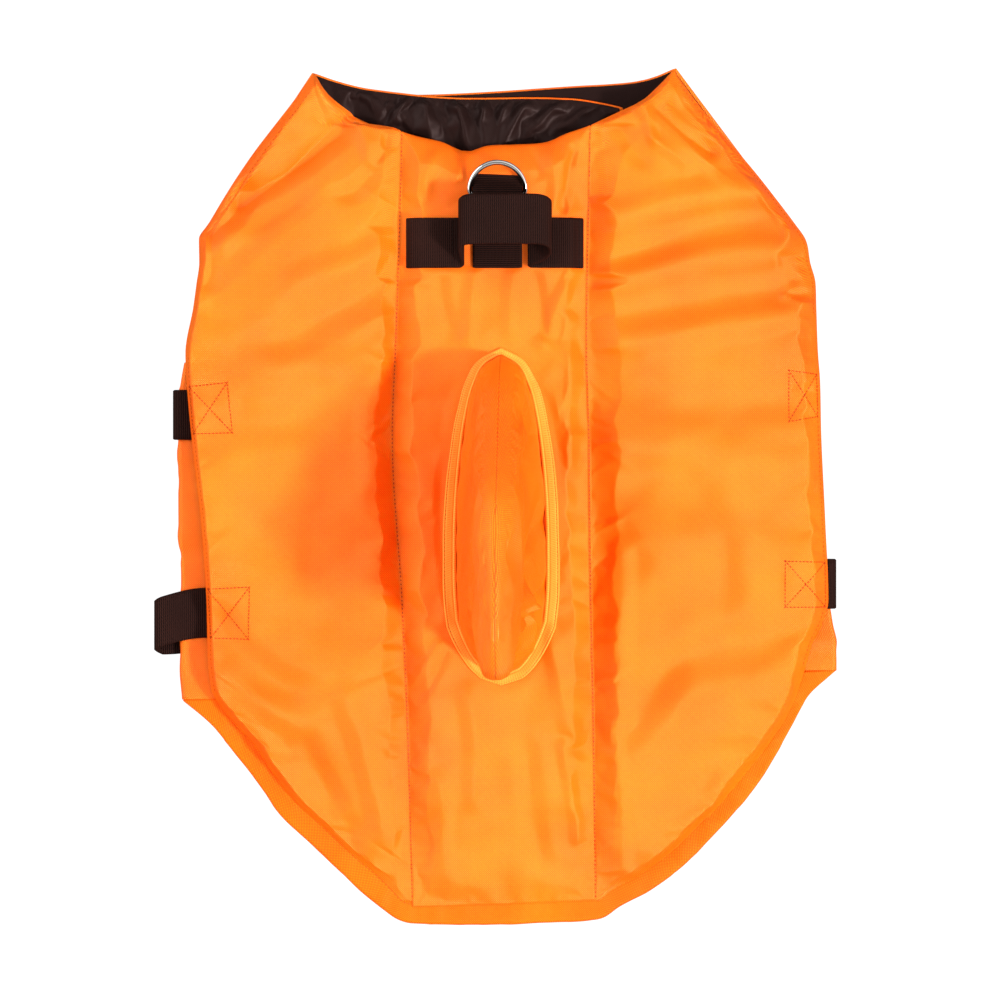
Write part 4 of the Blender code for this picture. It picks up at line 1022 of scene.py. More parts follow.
def padded_piece(name, top, low, finishes, lay=laid_uv):
    """A closed pad: a fine top, a coarse bottom, and a rounded wall between."""
    rows, columns = top.shape[:2]
    bottom = low[::COARSE, ::COARSE]
    brows, bcolumns = bottom.shape[:2]
    first = rows * columns
    faces = grid_quads(rows, columns).tolist()
    fine = border_of(rows, columns)
    coarse = border_of(brows, bcolumns)
    index = {place: k for k, place in enumerate(fine)}
    for k, (r, c) in enumerate(coarse):
        r2, c2 = coarse[(k + 1) % len(coarse)]
        start, stop = index[r * COARSE, c * COARSE], index[r2 * COARSE, c2 * COARSE]
        span = [fine[(start + i) % len(fine)] for i in range((stop - start) % len(fine) + 1)]
        upper = [a * columns + b for a, b in span]
        faces.append(upper[::-1] + [first + r * bcolumns + c, first + r2 * bcolumns + c2])
    second = len(faces)
    faces += grid_quads(brows, bcolumns, first)[:, ::-1].tolist()
    uv = lay(top)
    uv = np.concatenate([uv.reshape(-1, 2), uv[::COARSE, ::COARSE].reshape(-1, 2)])
    points = np.concatenate([top.reshape(-1, 3), bottom.reshape(-1, 3)])
    return new_piece(name, points, faces, uv, finishes, second)


def uneven_share(count, ends):
    """Shares from 0 to 1, closer together at both ends."""
    t = np.linspace(0.0, 1.0, count)
    return t - ends * np.sin(2 * math.pi * t) / (2 * math.pi)


def channel_cloth(top, low, from_seam, near, held=0.0):
    """The crinkled top of a channel, sewn down at its seams and edges."""
    at_seam = np.clip(1.8 - from_seam, 0.0, 1.0)
    at_edge = np.clip((4.5 - near) / 1.5, 0.0, 1.0)
    sewn = sewn_round(np.maximum(np.maximum(at_seam, at_edge), held))
    tight = np.clip((np.minimum(from_seam, near) - 12.0) / 22.0, 0.0, 0.85)
    top = crinkled(top, sewn, tight)
    top[..., 2] = np.maximum(top[..., 2], low[..., 2] + 1.0)
    return top


def side_panel(side):
    """Top and bottom of a side channel, from its edge to the seam or the rim."""
    column, neck = (LEFT, LEFT_NECK) if side < 0 else (RIGHT, RIGHT_NECK)
    ys = np.linspace(neck, SIDE_TAIL, 453)
    edge, seam = edge_at(ys, column), seam_at(ys, column)
    rim = RIM[5::-1] if side < 0 else RIM[-5:]
    front = ys > rim[0, 1]
    inner = np.where(front, smooth_table(rim[:, 1], rim[:, 0], ys), seam)
    share = uneven_share(113, 0.45)
    x = edge[:, None] + (inner - edge)[:, None] * share[None, :]
    y = np.repeat(ys[:, None], len(share), axis=1)
    from_seam = np.where(front[:, None], FAR, np.abs(x - seam[:, None]))
    from_edge = edge_distance(x, y, column)
    to_rim = line_distance(x, y, rim) * 1.8
    to_ends = np.minimum((RIGHT_NECK + 0.5 - y) * 1.2, y - SIDE_TAIL + 2.5)
    near = np.minimum(from_edge, np.minimum(to_rim, to_ends) + 1.0)
    stitch_in = np.where(from_edge <= near + 0.01, table_at(EDGE_STITCH, y, column), RIM_STITCH)
    seam_width = table_at(VALLEYS, y, column) + 1.1 * zigzag(y, 5.0, 24 + side)
    edge_width = table_at(EDGE_SLOPE, y, column) * (1.0 + 0.16 * zigzag(y, 9.0, 27 + side))
    extra = panel_folds(x, y) + 0.8 * zigzag(y, 13.0, 31 + side) * np.clip(1.0 - from_seam / 26.0, 0.0, 1.0)
    extra = (extra + puckers(y, from_seam, 50 + side, 46, 22.0, 1.6)
             + puckers(y, from_edge, 60 + side, 40, 16.0, 0.8))
    low, high = pad_surface(x, y, from_seam, seam_width, near, stitch_in, edge_width, extra)
    top, low = np.dstack([x, y, high]), np.dstack([x, y, low])
    return channel_cloth(top, low, from_seam, near), low


def middle_panel():
    """Top and bottom of the middle channel, held under the fin and the handle."""
    ys = np.linspace(CENTRE_NECK, CENTRE_TAIL, 425)
    left, right = seam_at(ys, LEFT), seam_at(ys, RIGHT)
    share = uneven_share(109, 0.45)
    x = left[:, None] + (right - left)[:, None] * share[None, :]
    front = np.clip(1.0 - (CENTRE_NECK - ys) / 60.0, 0.0, 1.0)[:, None]
    rear = np.clip(1.0 - (ys - CENTRE_TAIL) / 40.0, 0.0, 1.0)[:, None]
    rim = smooth_table(RIM[:, 0], RIM[:, 1], x)
    tail = smooth_table(TAIL[:, 0], TAIL[:, 1], x)
    y = ys[:, None] + front * (rim - CENTRE_NECK) + rear * (tail - CENTRE_TAIL)
    to_left, to_right = x - left[:, None], right[:, None] - x
    from_seam = np.minimum(to_left, to_right)
    near = np.minimum((rim - y) * 0.9, y - tail + 3.0)
    seam_width = 10.5 + 2.6 * np.where(to_left < to_right, zigzag(y, 10.0, 25), zigzag(y, 9.0, 26))
    off_fin = np.clip((np.hypot((x - 3.0) / 34.0, (y + 8.0) / 92.0) - 0.94) / 0.1, 0.0, 1.0)
    off_handle = np.maximum(np.abs(x) - 46.0, np.abs(y - 133.0) - 15.0)
    off_handle = np.clip(off_handle / 4.0 + 0.5, 0.0, 1.0)
    extra = panel_folds(x, y) + 0.7 * zigzag(y, 12.0, 33) * np.clip(1.0 - from_seam / 16.0, 0.0, 1.0)
    extra = extra + puckers(y, to_left, 52, 46, 12.0, 1.2) + puckers(y, to_right, 53, 46, 14.0, 1.3)
    extra = extra * off_fin * off_handle
    low, high = pad_surface(x, y, from_seam, seam_width, near, RIM_STITCH, 12.0, extra)
    top, low = np.dstack([x, y, high]), np.dstack([x, y, low])
    return channel_cloth(top, low, from_seam, near, 1.0 - off_fin * off_handle), low


back_pieces = []
for name, (top, low) in (("left", side_panel(-1)), ("centre", middle_panel()), ("right", side_panel(1))):
    channel = padded_piece("back_channel_" + name, top, low, [orange_nylon, black_lining])
    back_pieces.append(channel)
    declare(channel, "back_channel_" + name)


def height_probe(pieces):
    """Finds how high the tops of these pieces are at a point in plan."""
    trees = []
    for piece in pieces:
        corners = [vertex.co for vertex in piece.data.vertices]
        trees.append(BVHTree.FromPolygons(corners, [tuple(face.vertices) for face in piece.data.polygons]))

    def height(x, y):
        found = [tree.ray_cast(Vector((x * MM, y * MM, 1.0)), Vector((0.0, 0.0, -1.0)))[0] for tree in trees]
        found = [hit.z / MM for hit in found if hit]
        return max(found) if found else None

    return height


back_top = height_probe(back_pieces)


def make_stitch_tree():
    """Geometry nodes: short rounded stitches laid one after another on a line."""
    tree, given, out = node_group(
        "stitch_line", "GeometryNodeTree",
        [("Line", "Geometry", None), ("Pitch", "Float", 0.003), ("Stitch", "Float", 0.0022),
         ("Thread", "Float", 0.0005), ("Thread finish", "Material", None)],
        [("Stitches", "Geometry")])
    curve = add_node(tree, "GeometryNodeMeshToCurve", {"Mesh": given["Line"]})
    places = add_node(tree, "GeometryNodeResampleCurve",
                      {"Curve": curve.outputs["Curve"], "Length": given["Pitch"]}, mode="LENGTH")
    stitch = add_node(tree, "GeometryNodeMeshUVSphere", {"Segments": 6, "Rings": 4, "Radius": 0.5})
    tangent = add_node(tree, "GeometryNodeInputTangent", {})
    turn = add_node(tree, "FunctionNodeAlignRotationToVector",
                    {"Vector": tangent.outputs["Tangent"]}, axis="X")
    # Its inputs for plain numbers go by place, because others share their names.
    shortest, longest = 2, 3
    jitter = add_node(tree, "FunctionNodeRandomValue", {shortest: 0.85, longest: 1.1, "Seed": 7},
                      data_type="FLOAT")
    length = given["Stitch"] * Signal(tree, jitter.outputs[1])
    size = add_node(tree, "ShaderNodeCombineXYZ", {"X": length, "Y": given["Thread"], "Z": given["Thread"]})
    laid = add_node(tree, "GeometryNodeInstanceOnPoints", {
        "Points": places.outputs["Curve"], "Instance": stitch.outputs["Mesh"],
        "Rotation": turn.outputs["Rotation"], "Scale": size.outputs["Vector"]})
    real = add_node(tree, "GeometryNodeRealizeInstances", {"Geometry": laid.outputs["Instances"]})
    smooth = add_node(tree, "GeometryNodeSetShadeSmooth", {"Geometry": real.outputs["Geometry"]})
    finish = add_node(tree, "GeometryNodeSetMaterial",
                      {"Geometry": smooth.outputs["Geometry"], "Material": given["Thread finish"]})
    fill(tree, out, {"Stitches": finish.outputs["Geometry"]})
    return tree


stitch_tree = make_stitch_tree()


def thread(name, colour):
    """Twisted polyester thread."""
    made, tree, shader, place = new_finish(name)
    noise = add_node(tree, "ShaderNodeTexNoise", {"Vector": place["Object"], "Scale": 2500.0})
    twist = Signal(tree, noise.outputs["Fac"])
    fill(tree, shader, {
        "Base Color": two_tone(tree, twist, [0.6 * c for c in colour], colour),
        "Roughness": twist * 0.3 + 0.45,
        "Specular IOR Level": 0.08,
    })
    return made


orange_thread = thread("orange_thread", (0.62, 0.085, 0.008))
dark_thread = thread("dark_thread", (0.50, 0.028, 0.004))
red_thread = thread("red_thread", (0.42, 0.032, 0.003))
black_thread = thread("black_thread", (0.010, 0.004, 0.003))


def sew(name, lines, finish, pitch=2.3, stitch=1.5, size=0.5):
    """Rows of stitches along lines of points in millimetres, as one piece."""
    points, edges = [], []
    for line in lines:
        edges += [(len(points) + i, len(points) + i + 1) for i in range(len(line) - 1)]
        points += [tuple(MM * c for c in p) for p in line]
    mesh = bpy.data.meshes.new(name)
    mesh.from_pydata(points, edges, [])
    laid = in_scene(name + "_line", mesh)
    rows = laid.modifiers.new("stitches", "NODES")
    rows.node_group = stitch_tree
    keys = {i.name: i.identifier for i in stitch_tree.interface.items_tree if i.in_out == "INPUT"}
    for label, value in (("Pitch", pitch * MM), ("Stitch", stitch * MM), ("Thread", size * MM),
                         ("Thread finish", finish)):
        rows[keys[label]] = value
    evaluated = laid.evaluated_get(bpy.context.evaluated_depsgraph_get())
    sewn = in_scene(name, bpy.data.meshes.new_from_object(evaluated))
    bpy.data.objects.remove(laid, do_unlink=True)
    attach(sewn, JACKET)


def on_back(line, above=0.05):
    """A line in plan laid on the back, with a point about every 1.5 mm."""
    line = np.asarray(line, float)
    way = way_along(line)
    at = np.linspace(0.0, way[-1], max(int(way[-1] / 1.5), 2) + 1)
    xs, ys = np.interp(at, way, line[:, 0]), np.interp(at, way, line[:, 1])
    places = [(x, y, back_top(x, y)) for x, y in zip(xs, ys)]
    return [(x, y, z + above) for x, y, z in places if z is not None]


def inside_edge(side, first, last):
    """The line along which a side edge of the back is stitched through."""
    column = LEFT if side < 0 else RIGHT
    ys = np.linspace(first, last, 120)
    edge = edge_at(ys, column)
    slope = np.gradient(edge, ys)
    return list(zip(edge - side * table_at(EDGE_STITCH, ys, column) * np.sqrt(1.0 + slope ** 2), ys))


seam_lines = [on_back([(seam_at(y, column), y) for y in np.linspace(top, -208.0, 160)], above=0.35)
              for column, top in ((LEFT, 188.0), (RIGHT, 191.0))]
sew("stitches_quilting", seam_lines, dark_thread, pitch=2.1, stitch=1.15, size=0.65)
edge_lines = [on_back(inside_edge(-1, 210.0, 150.0)), on_back(inside_edge(-1, 72.0, -100.0)),
              on_back(inside_edge(1, 214.0, 96.0)), on_back(inside_edge(1, 60.0, -86.0))]
sew("stitches_edges", edge_lines, orange_thread)


def box_stitch(corners):
    """The square and its cross that hold the end of a strap."""
    a, b, c, d = corners
    return [on_back([a, b, c, d, a]), on_back([a, c]), on_back([b, d])]


# The corners of each square, the left side's first.
BOXES = [
    [(-159.0, 57.4), (-139.1, 59.5), (-136.5, 33.5), (-157.0, 33.0)],
    [(-149.5, -47.6), (-127.6, -46.5), (-128.2, -73.6), (-147.9, -73.1)],
    [(152.1, 65.8), (166.8, 64.0), (167.4, 42.0), (152.1, 39.3)],
    [(150.0, -33.0), (171.2, -33.6), (171.4, -56.9), (150.0, -56.9)],
]
box_lines = [line for box in BOXES for line in box_stitch(box)]
sew("stitches_strap_ends", box_lines, red_thread, pitch=1.9, stitch=1.6, size=0.62)


# --------------------------------------------------------------------- tail hem
# A strip of the same nylon turned over the tail's edge and stitched down, from
# one wing round the tail to the other. It puckers a little at each bend.

# Inner line, outer edge and how high it is carried, from left round to right.
HEM = [
    (-147.0, -105.4, -162.6, -105.8, 5.0), (-140.2, -114.0, -148.0, -117.9, 3.6),
    (-132.2, -122.9, -140.2, -127.0, 2.0), (-125.8, -131.0, -133.8, -134.9, 1.0),
    (-117.7, -143.4, -124.8, -146.6, 0.2), (-105.0, -160.7, -111.8, -165.4, 0.0),
    (-91.2, -173.5, -96.8, -179.8, 0.0), (-78.4, -185.9, -83.8, -192.0, 0.0),
    (-63.4, -198.4, -68.8, -206.2, 0.0), (-54.9, -206.7, -58.2, -214.6, 0.0),
    (-49.2, -212.6, -50.6, -219.9, 0.0), (-43.4, -214.2, -43.6, -221.9, 0.0),
    (-20.0, -213.4, -20.0, -222.3, 0.0), (5.0, -212.7, 5.0, -222.3, 0.0),
    (30.0, -211.6, 30.0, -221.0, 0.0), (47.0, -210.7, 48.0, -220.3, 0.0),
    (54.4, -211.4, 55.4, -219.0, 0.0), (60.8, -206.4, 64.0, -213.4, 0.0),
    (76.1, -198.0, 80.4, -204.6, 0.0), (93.1, -185.5, 98.6, -190.6, 0.0),
    (105.7, -173.1, 111.8, -177.4, 0.0), (118.3, -160.5, 125.0, -163.0, 0.0),
    (131.8, -143.0, 138.4, -146.2, 0.2), (141.6, -130.9, 147.4, -131.0, 1.0),
    (152.4, -113.7, 158.0, -111.6, 2.4), (156.7, -104.1, 163.0, -102.6, 3.6),
    (160.7, -91.0, 176.6, -90.2, 5.0),
]
HEM_THICKNESS = 2.5
HEM_TUCK = 4.0
# The hem's light tone is darker than the body's nylon: painted shade, for the hem sloping away from the
# light.
HEM_SHADED_TONE = (0.92, 0.185, 0.001)


def make_hem():
    """The turned strip; gives back the line on which it is stitched down."""
    stations = resampled(HEM, 620)
    share = np.linspace(0.0, 1.0, 13)
    inner, outer, lift = stations[:, 0:2], stations[:, 2:4], stations[:, 4]
    way = np.cumsum(np.linalg.norm(np.gradient(inner, axis=0), axis=1))
    across = unit(outer - inner)
    inner = inner - across * HEM_TUCK
    plan = inner[:, None, :] + (outer - inner)[:, None, :] * share[None, :, None]
    waver = 0.5 * zigzag(way - 250.0, 14.0, 71) + 0.3 * zigzag(way - 250.0, 5.0, 72)
    plan[:, -3:, :] += (waver[:, None] * np.array([0.2, 0.6, 1.0]))[..., None] * 0.5 * across[:, None, :]
    roll = 0.45 * np.sin(math.pi * share) ** 0.5
    wrinkle = 0.5 * soft_noise(way[:, None], share[None, :] * 4.0, 5.0, 73)
    z = (lift * 0.95)[:, None] + 0.15 * (1 - share)[None, :] + HEM_THICKNESS / 2 + roll[None, :] * 0.6
    z = z + wrinkle * np.sin(math.pi * share)[None, :]
    middle = np.dstack([plan, z])
    turned_nylon_painted_shade = fabric("turned_nylon_painted_shade", HEM_SHADED_TONE, ORANGE_DARK, thread=0.00115, roughness=0.50, gloss=0.30,
                          bump=0.12, tint=ORANGE_SHEEN)
    hem = cloth_shell("tail_hem", middle, HEM_THICKNESS * 0.8, turned_nylon_painted_shade)
    declare(hem, "tail_hem")
    return middle[6:-6, 2] + np.array([0.0, 0.0, HEM_THICKNESS * 0.4 + 0.05])


sew("stitches_hem", [make_hem()], orange_thread)


# -------------------------------------------------------------------- back fin
# A stuffed fin of two cut halves, sewn together along the ridge. Its cloth is
# turned out at the foot to a flat edge, which two rows of stitching hold down.

FIN_X = 2.9
BACK_TOP = 26.0
FIN_FOOT = BACK_TOP + 0.35
FIN_TOP = 108.5
# The fin by level: its front and rear end and half its width.
FIN = [
    (0.0, 74.0, -92.0, 22.6), (12.0, 71.0, -90.5, 21.6), (24.0, 66.0, -86.5, 20.0),
    (37.0, 57.5, -81.5, 17.8), (50.0, 44.5, -77.0, 15.4), (62.0, 31.0, -75.0, 13.0),
    (74.0, 17.5, -77.0, 10.4), (84.0, 6.0, -83.0, 8.0), (91.0, -5.0, -92.0, 6.2),
    (97.0, -20.0, -90.0, 4.8), (102.0, -36.0, -86.0, 3.6), (106.0, -50.0, -79.5, 2.4),
    (108.5, -61.0, -72.0, 1.4),
]
# Its width from front to rear, as a share of the widest place.
FIN_LENS = [
    (0.0, 0.0), (0.03, 0.34), (0.09, 0.58), (0.2, 0.78), (0.34, 0.91), (0.5, 0.985),
    (0.64, 1.0), (0.78, 0.97), (0.9, 0.82), (0.97, 0.48), (1.0, 0.0),
]
# How wide the stuffing rounds each half out along its seams, how far past the
# level's own width at most, how deep its creases go, and its least thickness.
FIN_CROWN = 11.5
FIN_OVER = {-1: 3.2, 1: 7.0}
FIN_DEPTH = {-1: 0.3, 1: 0.9}
FIN_LEAST = 0.35
# How far the fin leans to the left, for each millimetre of its height.
FIN_LEAN = 0.03
FLANGE_FRONT, FLANGE_REAR, FLANGE_WIDTH = 77.0, -97.0, 6.6
# Creases of a half: share of its length and height at both ends, half width,
# depth. The right half is crumpled at the rear.
FIN_CREASES = {
    -1: [
        (0.10, 70.0, 0.16, 30.0, 0.02, 1.2), (0.30, 60.0, 0.26, 8.0, 0.03, -0.9),
        (0.55, 66.0, 0.60, 20.0, 0.04, 0.9), (0.80, 60.0, 0.74, 16.0, 0.03, -1.0),
        (0.92, 56.0, 0.88, 22.0, 0.02, 1.0),
    ],
    1: [
        (0.07, 66.0, 0.12, 34.0, 0.02, 1.3), (0.16, 60.0, 0.24, 14.0, 0.03, -1.0),
        (0.45, 70.0, 0.42, 30.0, 0.05, 1.4), (0.64, 64.0, 0.80, 22.0, 0.07, -5.6),
        (0.74, 66.0, 0.94, 20.0, 0.05, 4.6), (0.88, 48.0, 0.72, 10.0, 0.05, -4.4),
        (0.93, 64.0, 0.82, 44.0, 0.035, 3.4), (0.54, 60.0, 0.52, 6.0, 0.06, -3.4),
    ],
}


def lens_at(share, least=0.0):
    """The fin's width at a share of its length, both its ends rounded."""
    round_ends = np.sqrt(np.clip(1.0 - (2.0 * share - 1.0) ** 2, 0.0, 1.0))
    return np.minimum(smooth_table(*zip(*FIN_LENS), share), 1.25 * round_ends + least)


def fin_folds(side, share, y, height):
    """The creases, the slow unevenness and the small puckers of one half."""
    fold = np.zeros(height.shape)
    for s0, h0, s1, h1, width, depth in FIN_CREASES[side]:
        t = np.clip((height - h1) / (h0 - h1), 0.0, 1.0)
        off = np.clip(np.abs(share[None, :] - (s1 + (s0 - s1) * t)) / width, 0.0, 1.0)
        past = np.maximum(np.maximum(h1 - height, height - h0), 0.0)
        fold += depth * (1.0 - off) ** 1.3 * np.clip(1.0 - past / 12.0, 0.0, 1.0)
    fold += 0.5 * soft_noise(y, height, 22.0, 80 + side) + 0.2 * puckers(y, height, 82 + side, 40, 18.0, 1.6)
    return fold


def fin_half(side):
    """One stuffed half: its outer cloth bulges from the seam plane between both."""
    levels = np.array(FIN)
    heights = FIN_TOP * (1.0 - (1.0 - np.linspace(0.0, 1.0, 133)) ** 1.25)
    share = uneven_share(141, 0.5)
    front, rear, half_width = (smooth_table(levels[:, 0], levels[:, k], heights)[:, None] for k in (1, 2, 3))
    lens = lens_at(share, 0.02)[None, :]
    y = front + (rear - front) * share[None, :]
    height = np.repeat(heights[:, None], len(share), axis=1)
    fold = fin_folds(side, share, y, height)
    up, down = np.stack([front[:, 0], heights], axis=1), np.stack([rear[::-1, 0], heights[::-1]], axis=1)
    deep = line_distance(y, height, np.concatenate([up, down]))
    crown = np.minimum(FIN_CROWN, 0.9 * half_width + 4.0) * rise(deep, FIN_CROWN)
    body = half_width * lens
    body = np.maximum(body, np.minimum(crown, body + FIN_OVER[side]) * np.clip(height / 12.0, 0.0, 1.0))
    bulge = body + 0.45 + FIN_DEPTH[side] * fold * np.minimum(lens * 2.0, 1.0)
    bulge = np.maximum(bulge, FIN_LEAST)
    inner = FIN_X - FIN_LEAN * height + side * SEAM_GAP / 4
    z = FIN_FOOT + height
    outside = np.dstack([inner + side * bulge, y, z])
    inside = np.dstack([inner, y, z])
    sewn = np.clip((3.0 - np.minimum(deep, height + 1.5)) / 1.5, 0.0, 1.0)
    tight = np.clip((deep - 14.0) / 20.0, 0.0, 0.7)
    outside = crinkled(outside, sewn, tight, slack=0.010, stiffness=14.0, most=1.6)
    outside[..., 0] = inner + side * np.maximum(side * (outside[..., 0] - inner), FIN_LEAST)
    name = "fin_left" if side < 0 else "fin_right"
    half = padded_piece(name, outside, inside, [orange_nylon], cloth_uv)
    declare(half, name)


for side in (-1, 1):
    fin_half(side)


# The flat edge is the fin's own nylon, ribbed like tape; its two tones are lighter than the nylon's, a
# painted highlight where the edge tilts up towards the fill light.
orange_binding_painted_light = fabric("orange_binding_painted_light", (0.96, 0.34, 0.040), (0.93, 0.17, 0.010), thread=0.0012,
                        roughness=0.46, gloss=0.60, bump=0.14, crinkle=0.1, group=webbing_group,
                        tint=ORANGE_SHEEN)


def flange_edge(share, reach, front, rear):
    """Half the width and the place along Y of a line round the fin's foot."""
    return lens_at(share) * reach, front + (rear - front) * share


def ridge(share, place, width):
    """A rounded ridge across a strip, at a share of its width."""
    return np.exp(-((share - place) / width) ** 2)


def make_flange():
    """The flat edge round the foot; gives back its two rows of stitching."""
    half = 0.5 - 0.5 * np.cos(np.linspace(0.0, math.pi, 130))
    inner_x, inner_y = flange_edge(half, FIN[0][3] + 1.0, 74.6, -91.8)
    outer_x, outer_y = flange_edge(half, FIN[0][3] + 0.6 + FLANGE_WIDTH, FLANGE_FRONT, FLANGE_REAR)
    right = np.stack([inner_x, inner_y, outer_x, outer_y], axis=1)[:-1]
    left = right[::-1] * np.array([-1.0, 1.0, -1.0, 1.0])
    loop = np.concatenate([left, right[1:]])
    waver = 0.35 * zigzag(np.arange(len(loop)) * 1.6 - 200.0, 12.0, 91)
    loop[:, 2] += waver * np.sign(loop[:, 2]) * np.minimum(np.abs(loop[:, 2]) / 8.0, 1.0)
    share = np.linspace(0.0, 1.0, 21)
    plan = loop[:, None, 0:2] + (loop[:, 2:4] - loop[:, 0:2])[:, None, :] * share[None, :, None]
    plan[..., 0] += FIN_X
    z = np.array([[back_top(x, y) for x, y in row] for row in plan]) + 0.25 + CLOTH / 2
    cord = 0.75 * ridge(share, 0.10, 0.07)
    grooves = 0.35 * (ridge(share, 0.24, 0.05) + ridge(share, 0.88, 0.05))
    z = z + (cord - grooves)[None, :] + 0.18 * soft_noise(plan[..., 0], plan[..., 1], 5.0, 92)
    middle = np.dstack([plan, z])
    flange = cloth_shell("fin_flange", middle, CLOTH * 0.75, orange_binding_painted_light)
    declare(flange, "fin_flange")
    return [middle[4:-4, column] + np.array([0.0, 0.0, CLOTH * 0.36]) for column in (5, 18)]


sew("stitches_fin", make_flange(), red_thread, pitch=2.1, stitch=1.5, size=0.45)


# ------------------------------------------------------- grab handle and ring tab
# A handle of ribbed webbing, its ends sewn flat on the middle panel and its
# loop leaning to the neck. A tab of the same webbing runs under it and holds
# the chrome D-ring at its neck end.

HANDLE_Y = 131.8
HANDLE_LEAN = 12.0
HANDLE_HEIGHT = 20.0
HANDLE_ENDS = ((-46.0, -44.2, -42.4, -32.2, -25.0), (25.0, 28.7, 38.7, 42.0, 45.2))
# The loop from left to right: x and how high above the back.
HANDLE_LOOP = [
    (-19.6, 1.1), (-17.9, 1.4), (-16.9, 2.8), (-17.1, 6.0), (-18.0, 10.0), (-18.5, 14.0),
    (-17.6, 17.2), (-14.6, 18.9), (-9.0, 19.25), (5.0, 19.4), (17.0, 19.4), (23.6, 18.8),
    (27.2, 16.6), (28.3, 13.4), (27.4, 9.6), (24.6, 6.4), (21.2, 4.3), (19.2, 3.3),
    (17.9, 2.85), (17.35, 2.1), (18.0, 1.3), (19.4, 1.1),
]
HANDLE_REST = HANDLE_LOOP[0][1]
# The rows of stitches across its flat ends: the x of each, from and to which y,
# how high the cloth below is at least, and how far above it the stitches lie.
HANDLE_STITCHES = (-43.6, -22.4, 43.4, 23.4)
STITCH_FROM, STITCH_TO = 120.6, 143.0
CLOTH_LEAST, STITCH_ABOVE = 25.6, 2.0
RING_X, RING_Y = 1.0, 156.8
TAB_WIDTH = 24.6
# The tab from tail to neck: y and how high above the back; it folds over the bar.
TAB_PATH = [
    (119.2, 1.1), (130.0, 1.1), (141.0, 1.1), (148.0, 1.15), (151.0, 1.9), (153.4, 3.3),
    (155.2, 4.05), (156.8, 4.25), (158.4, 4.05), (160.2, 3.3), (162.4, 1.9), (164.2, 1.2), (166.6, 1.1),
]


def on_cloth(x):
    """How high the handle's middle surface lies where its ends are sewn down."""
    heights = [back_top(x, HANDLE_Y + share * WEBBING_WIDTH) for share in (-0.5, -0.25, 0.0, 0.25, 0.5)]
    return max(heights) + 0.15 + WEBBING / 2


def make_handle():
    path = [(x, HANDLE_Y, on_cloth(x)) for x in HANDLE_ENDS[0]]
    for x, above in HANDLE_LOOP:
        lean = HANDLE_LEAN * min(max((above - HANDLE_REST) / (HANDLE_HEIGHT - HANDLE_REST), 0.0), 1.0)
        path.append((x, HANDLE_Y + lean, BACK_TOP + above))
    path += [(x, HANDLE_Y, on_cloth(x)) for x in HANDLE_ENDS[1]]
    path = resampled(path, 330)
    middle = webbing_grid(path, (0.0, WEBBING_WIDTH, 0.0), 21)
    lay_webbing("handle_strap", middle)


def make_tab():
    """The tab, its neck end cut a little on the slant."""
    path = resampled([(RING_X, y, BACK_TOP + above) for y, above in TAB_PATH], 110)
    middle = webbing_grid(path, (TAB_WIDTH, 0.0, 0.0), 21)
    neck_end = np.clip((middle[..., 1] - 158.0) / 8.6, 0.0, 1.0)
    middle[..., 1] -= neck_end * 0.9 * np.linspace(-0.5, 0.5, 21)[None, :]
    lay_webbing("ring_tab", middle)


make_handle()
make_tab()


def across_handle(x):
    """A line of stitches across a flat end of the handle."""
    ys = [STITCH_FROM + (STITCH_TO - STITCH_FROM) * t for t in np.linspace(0.0, 1.0, 20)]
    return [(x, y, max(back_top(x, y), CLOTH_LEAST) + STITCH_ABOVE) for y in ys]


sew("stitches_handle", [across_handle(x) for x in HANDLE_STITCHES], black_thread,
    pitch=2.2, stitch=1.7, size=0.5)


# -------------------------------------------------------------------- D-ring
# Welded steel wire, bent to a D, ground and chrome plated. Its straight bar
# turns in the fold of the tab; it rests on the cloth, tipped up a little.

RING_WIRE = 2.8
RING_INNER = 26.0
RING_CORNER = 2.5
RING_TILT = math.radians(15.0)
WIRE_SIDES = 20


def chrome_finish():
    """Bright chrome with faint polishing marks."""
    made, tree, shader, place = new_finish("chrome")
    tone_and_sheen = from_group(tree, tone_and_sheen_group, {"Place": place["Object"], "Patch": 300.0, "Crinkle": 1500.0})
    fill(tree, shader, {
        "Base Color": (0.54, 0.52, 0.50, 1.0),
        "Metallic": 1.0,
        "Roughness": tone_and_sheen["Tone"] * 0.10 + 0.03,
        "Normal": relief(tree, tone_and_sheen["Crease"], 0.00001),
    })
    return made


def arc(x, y, radius, start, stop, count):
    """Points on an arc, from one angle in degrees to another."""
    angles = np.radians(np.linspace(start, stop, count))
    return [(x + radius * math.cos(a), y + radius * math.sin(a)) for a in angles]


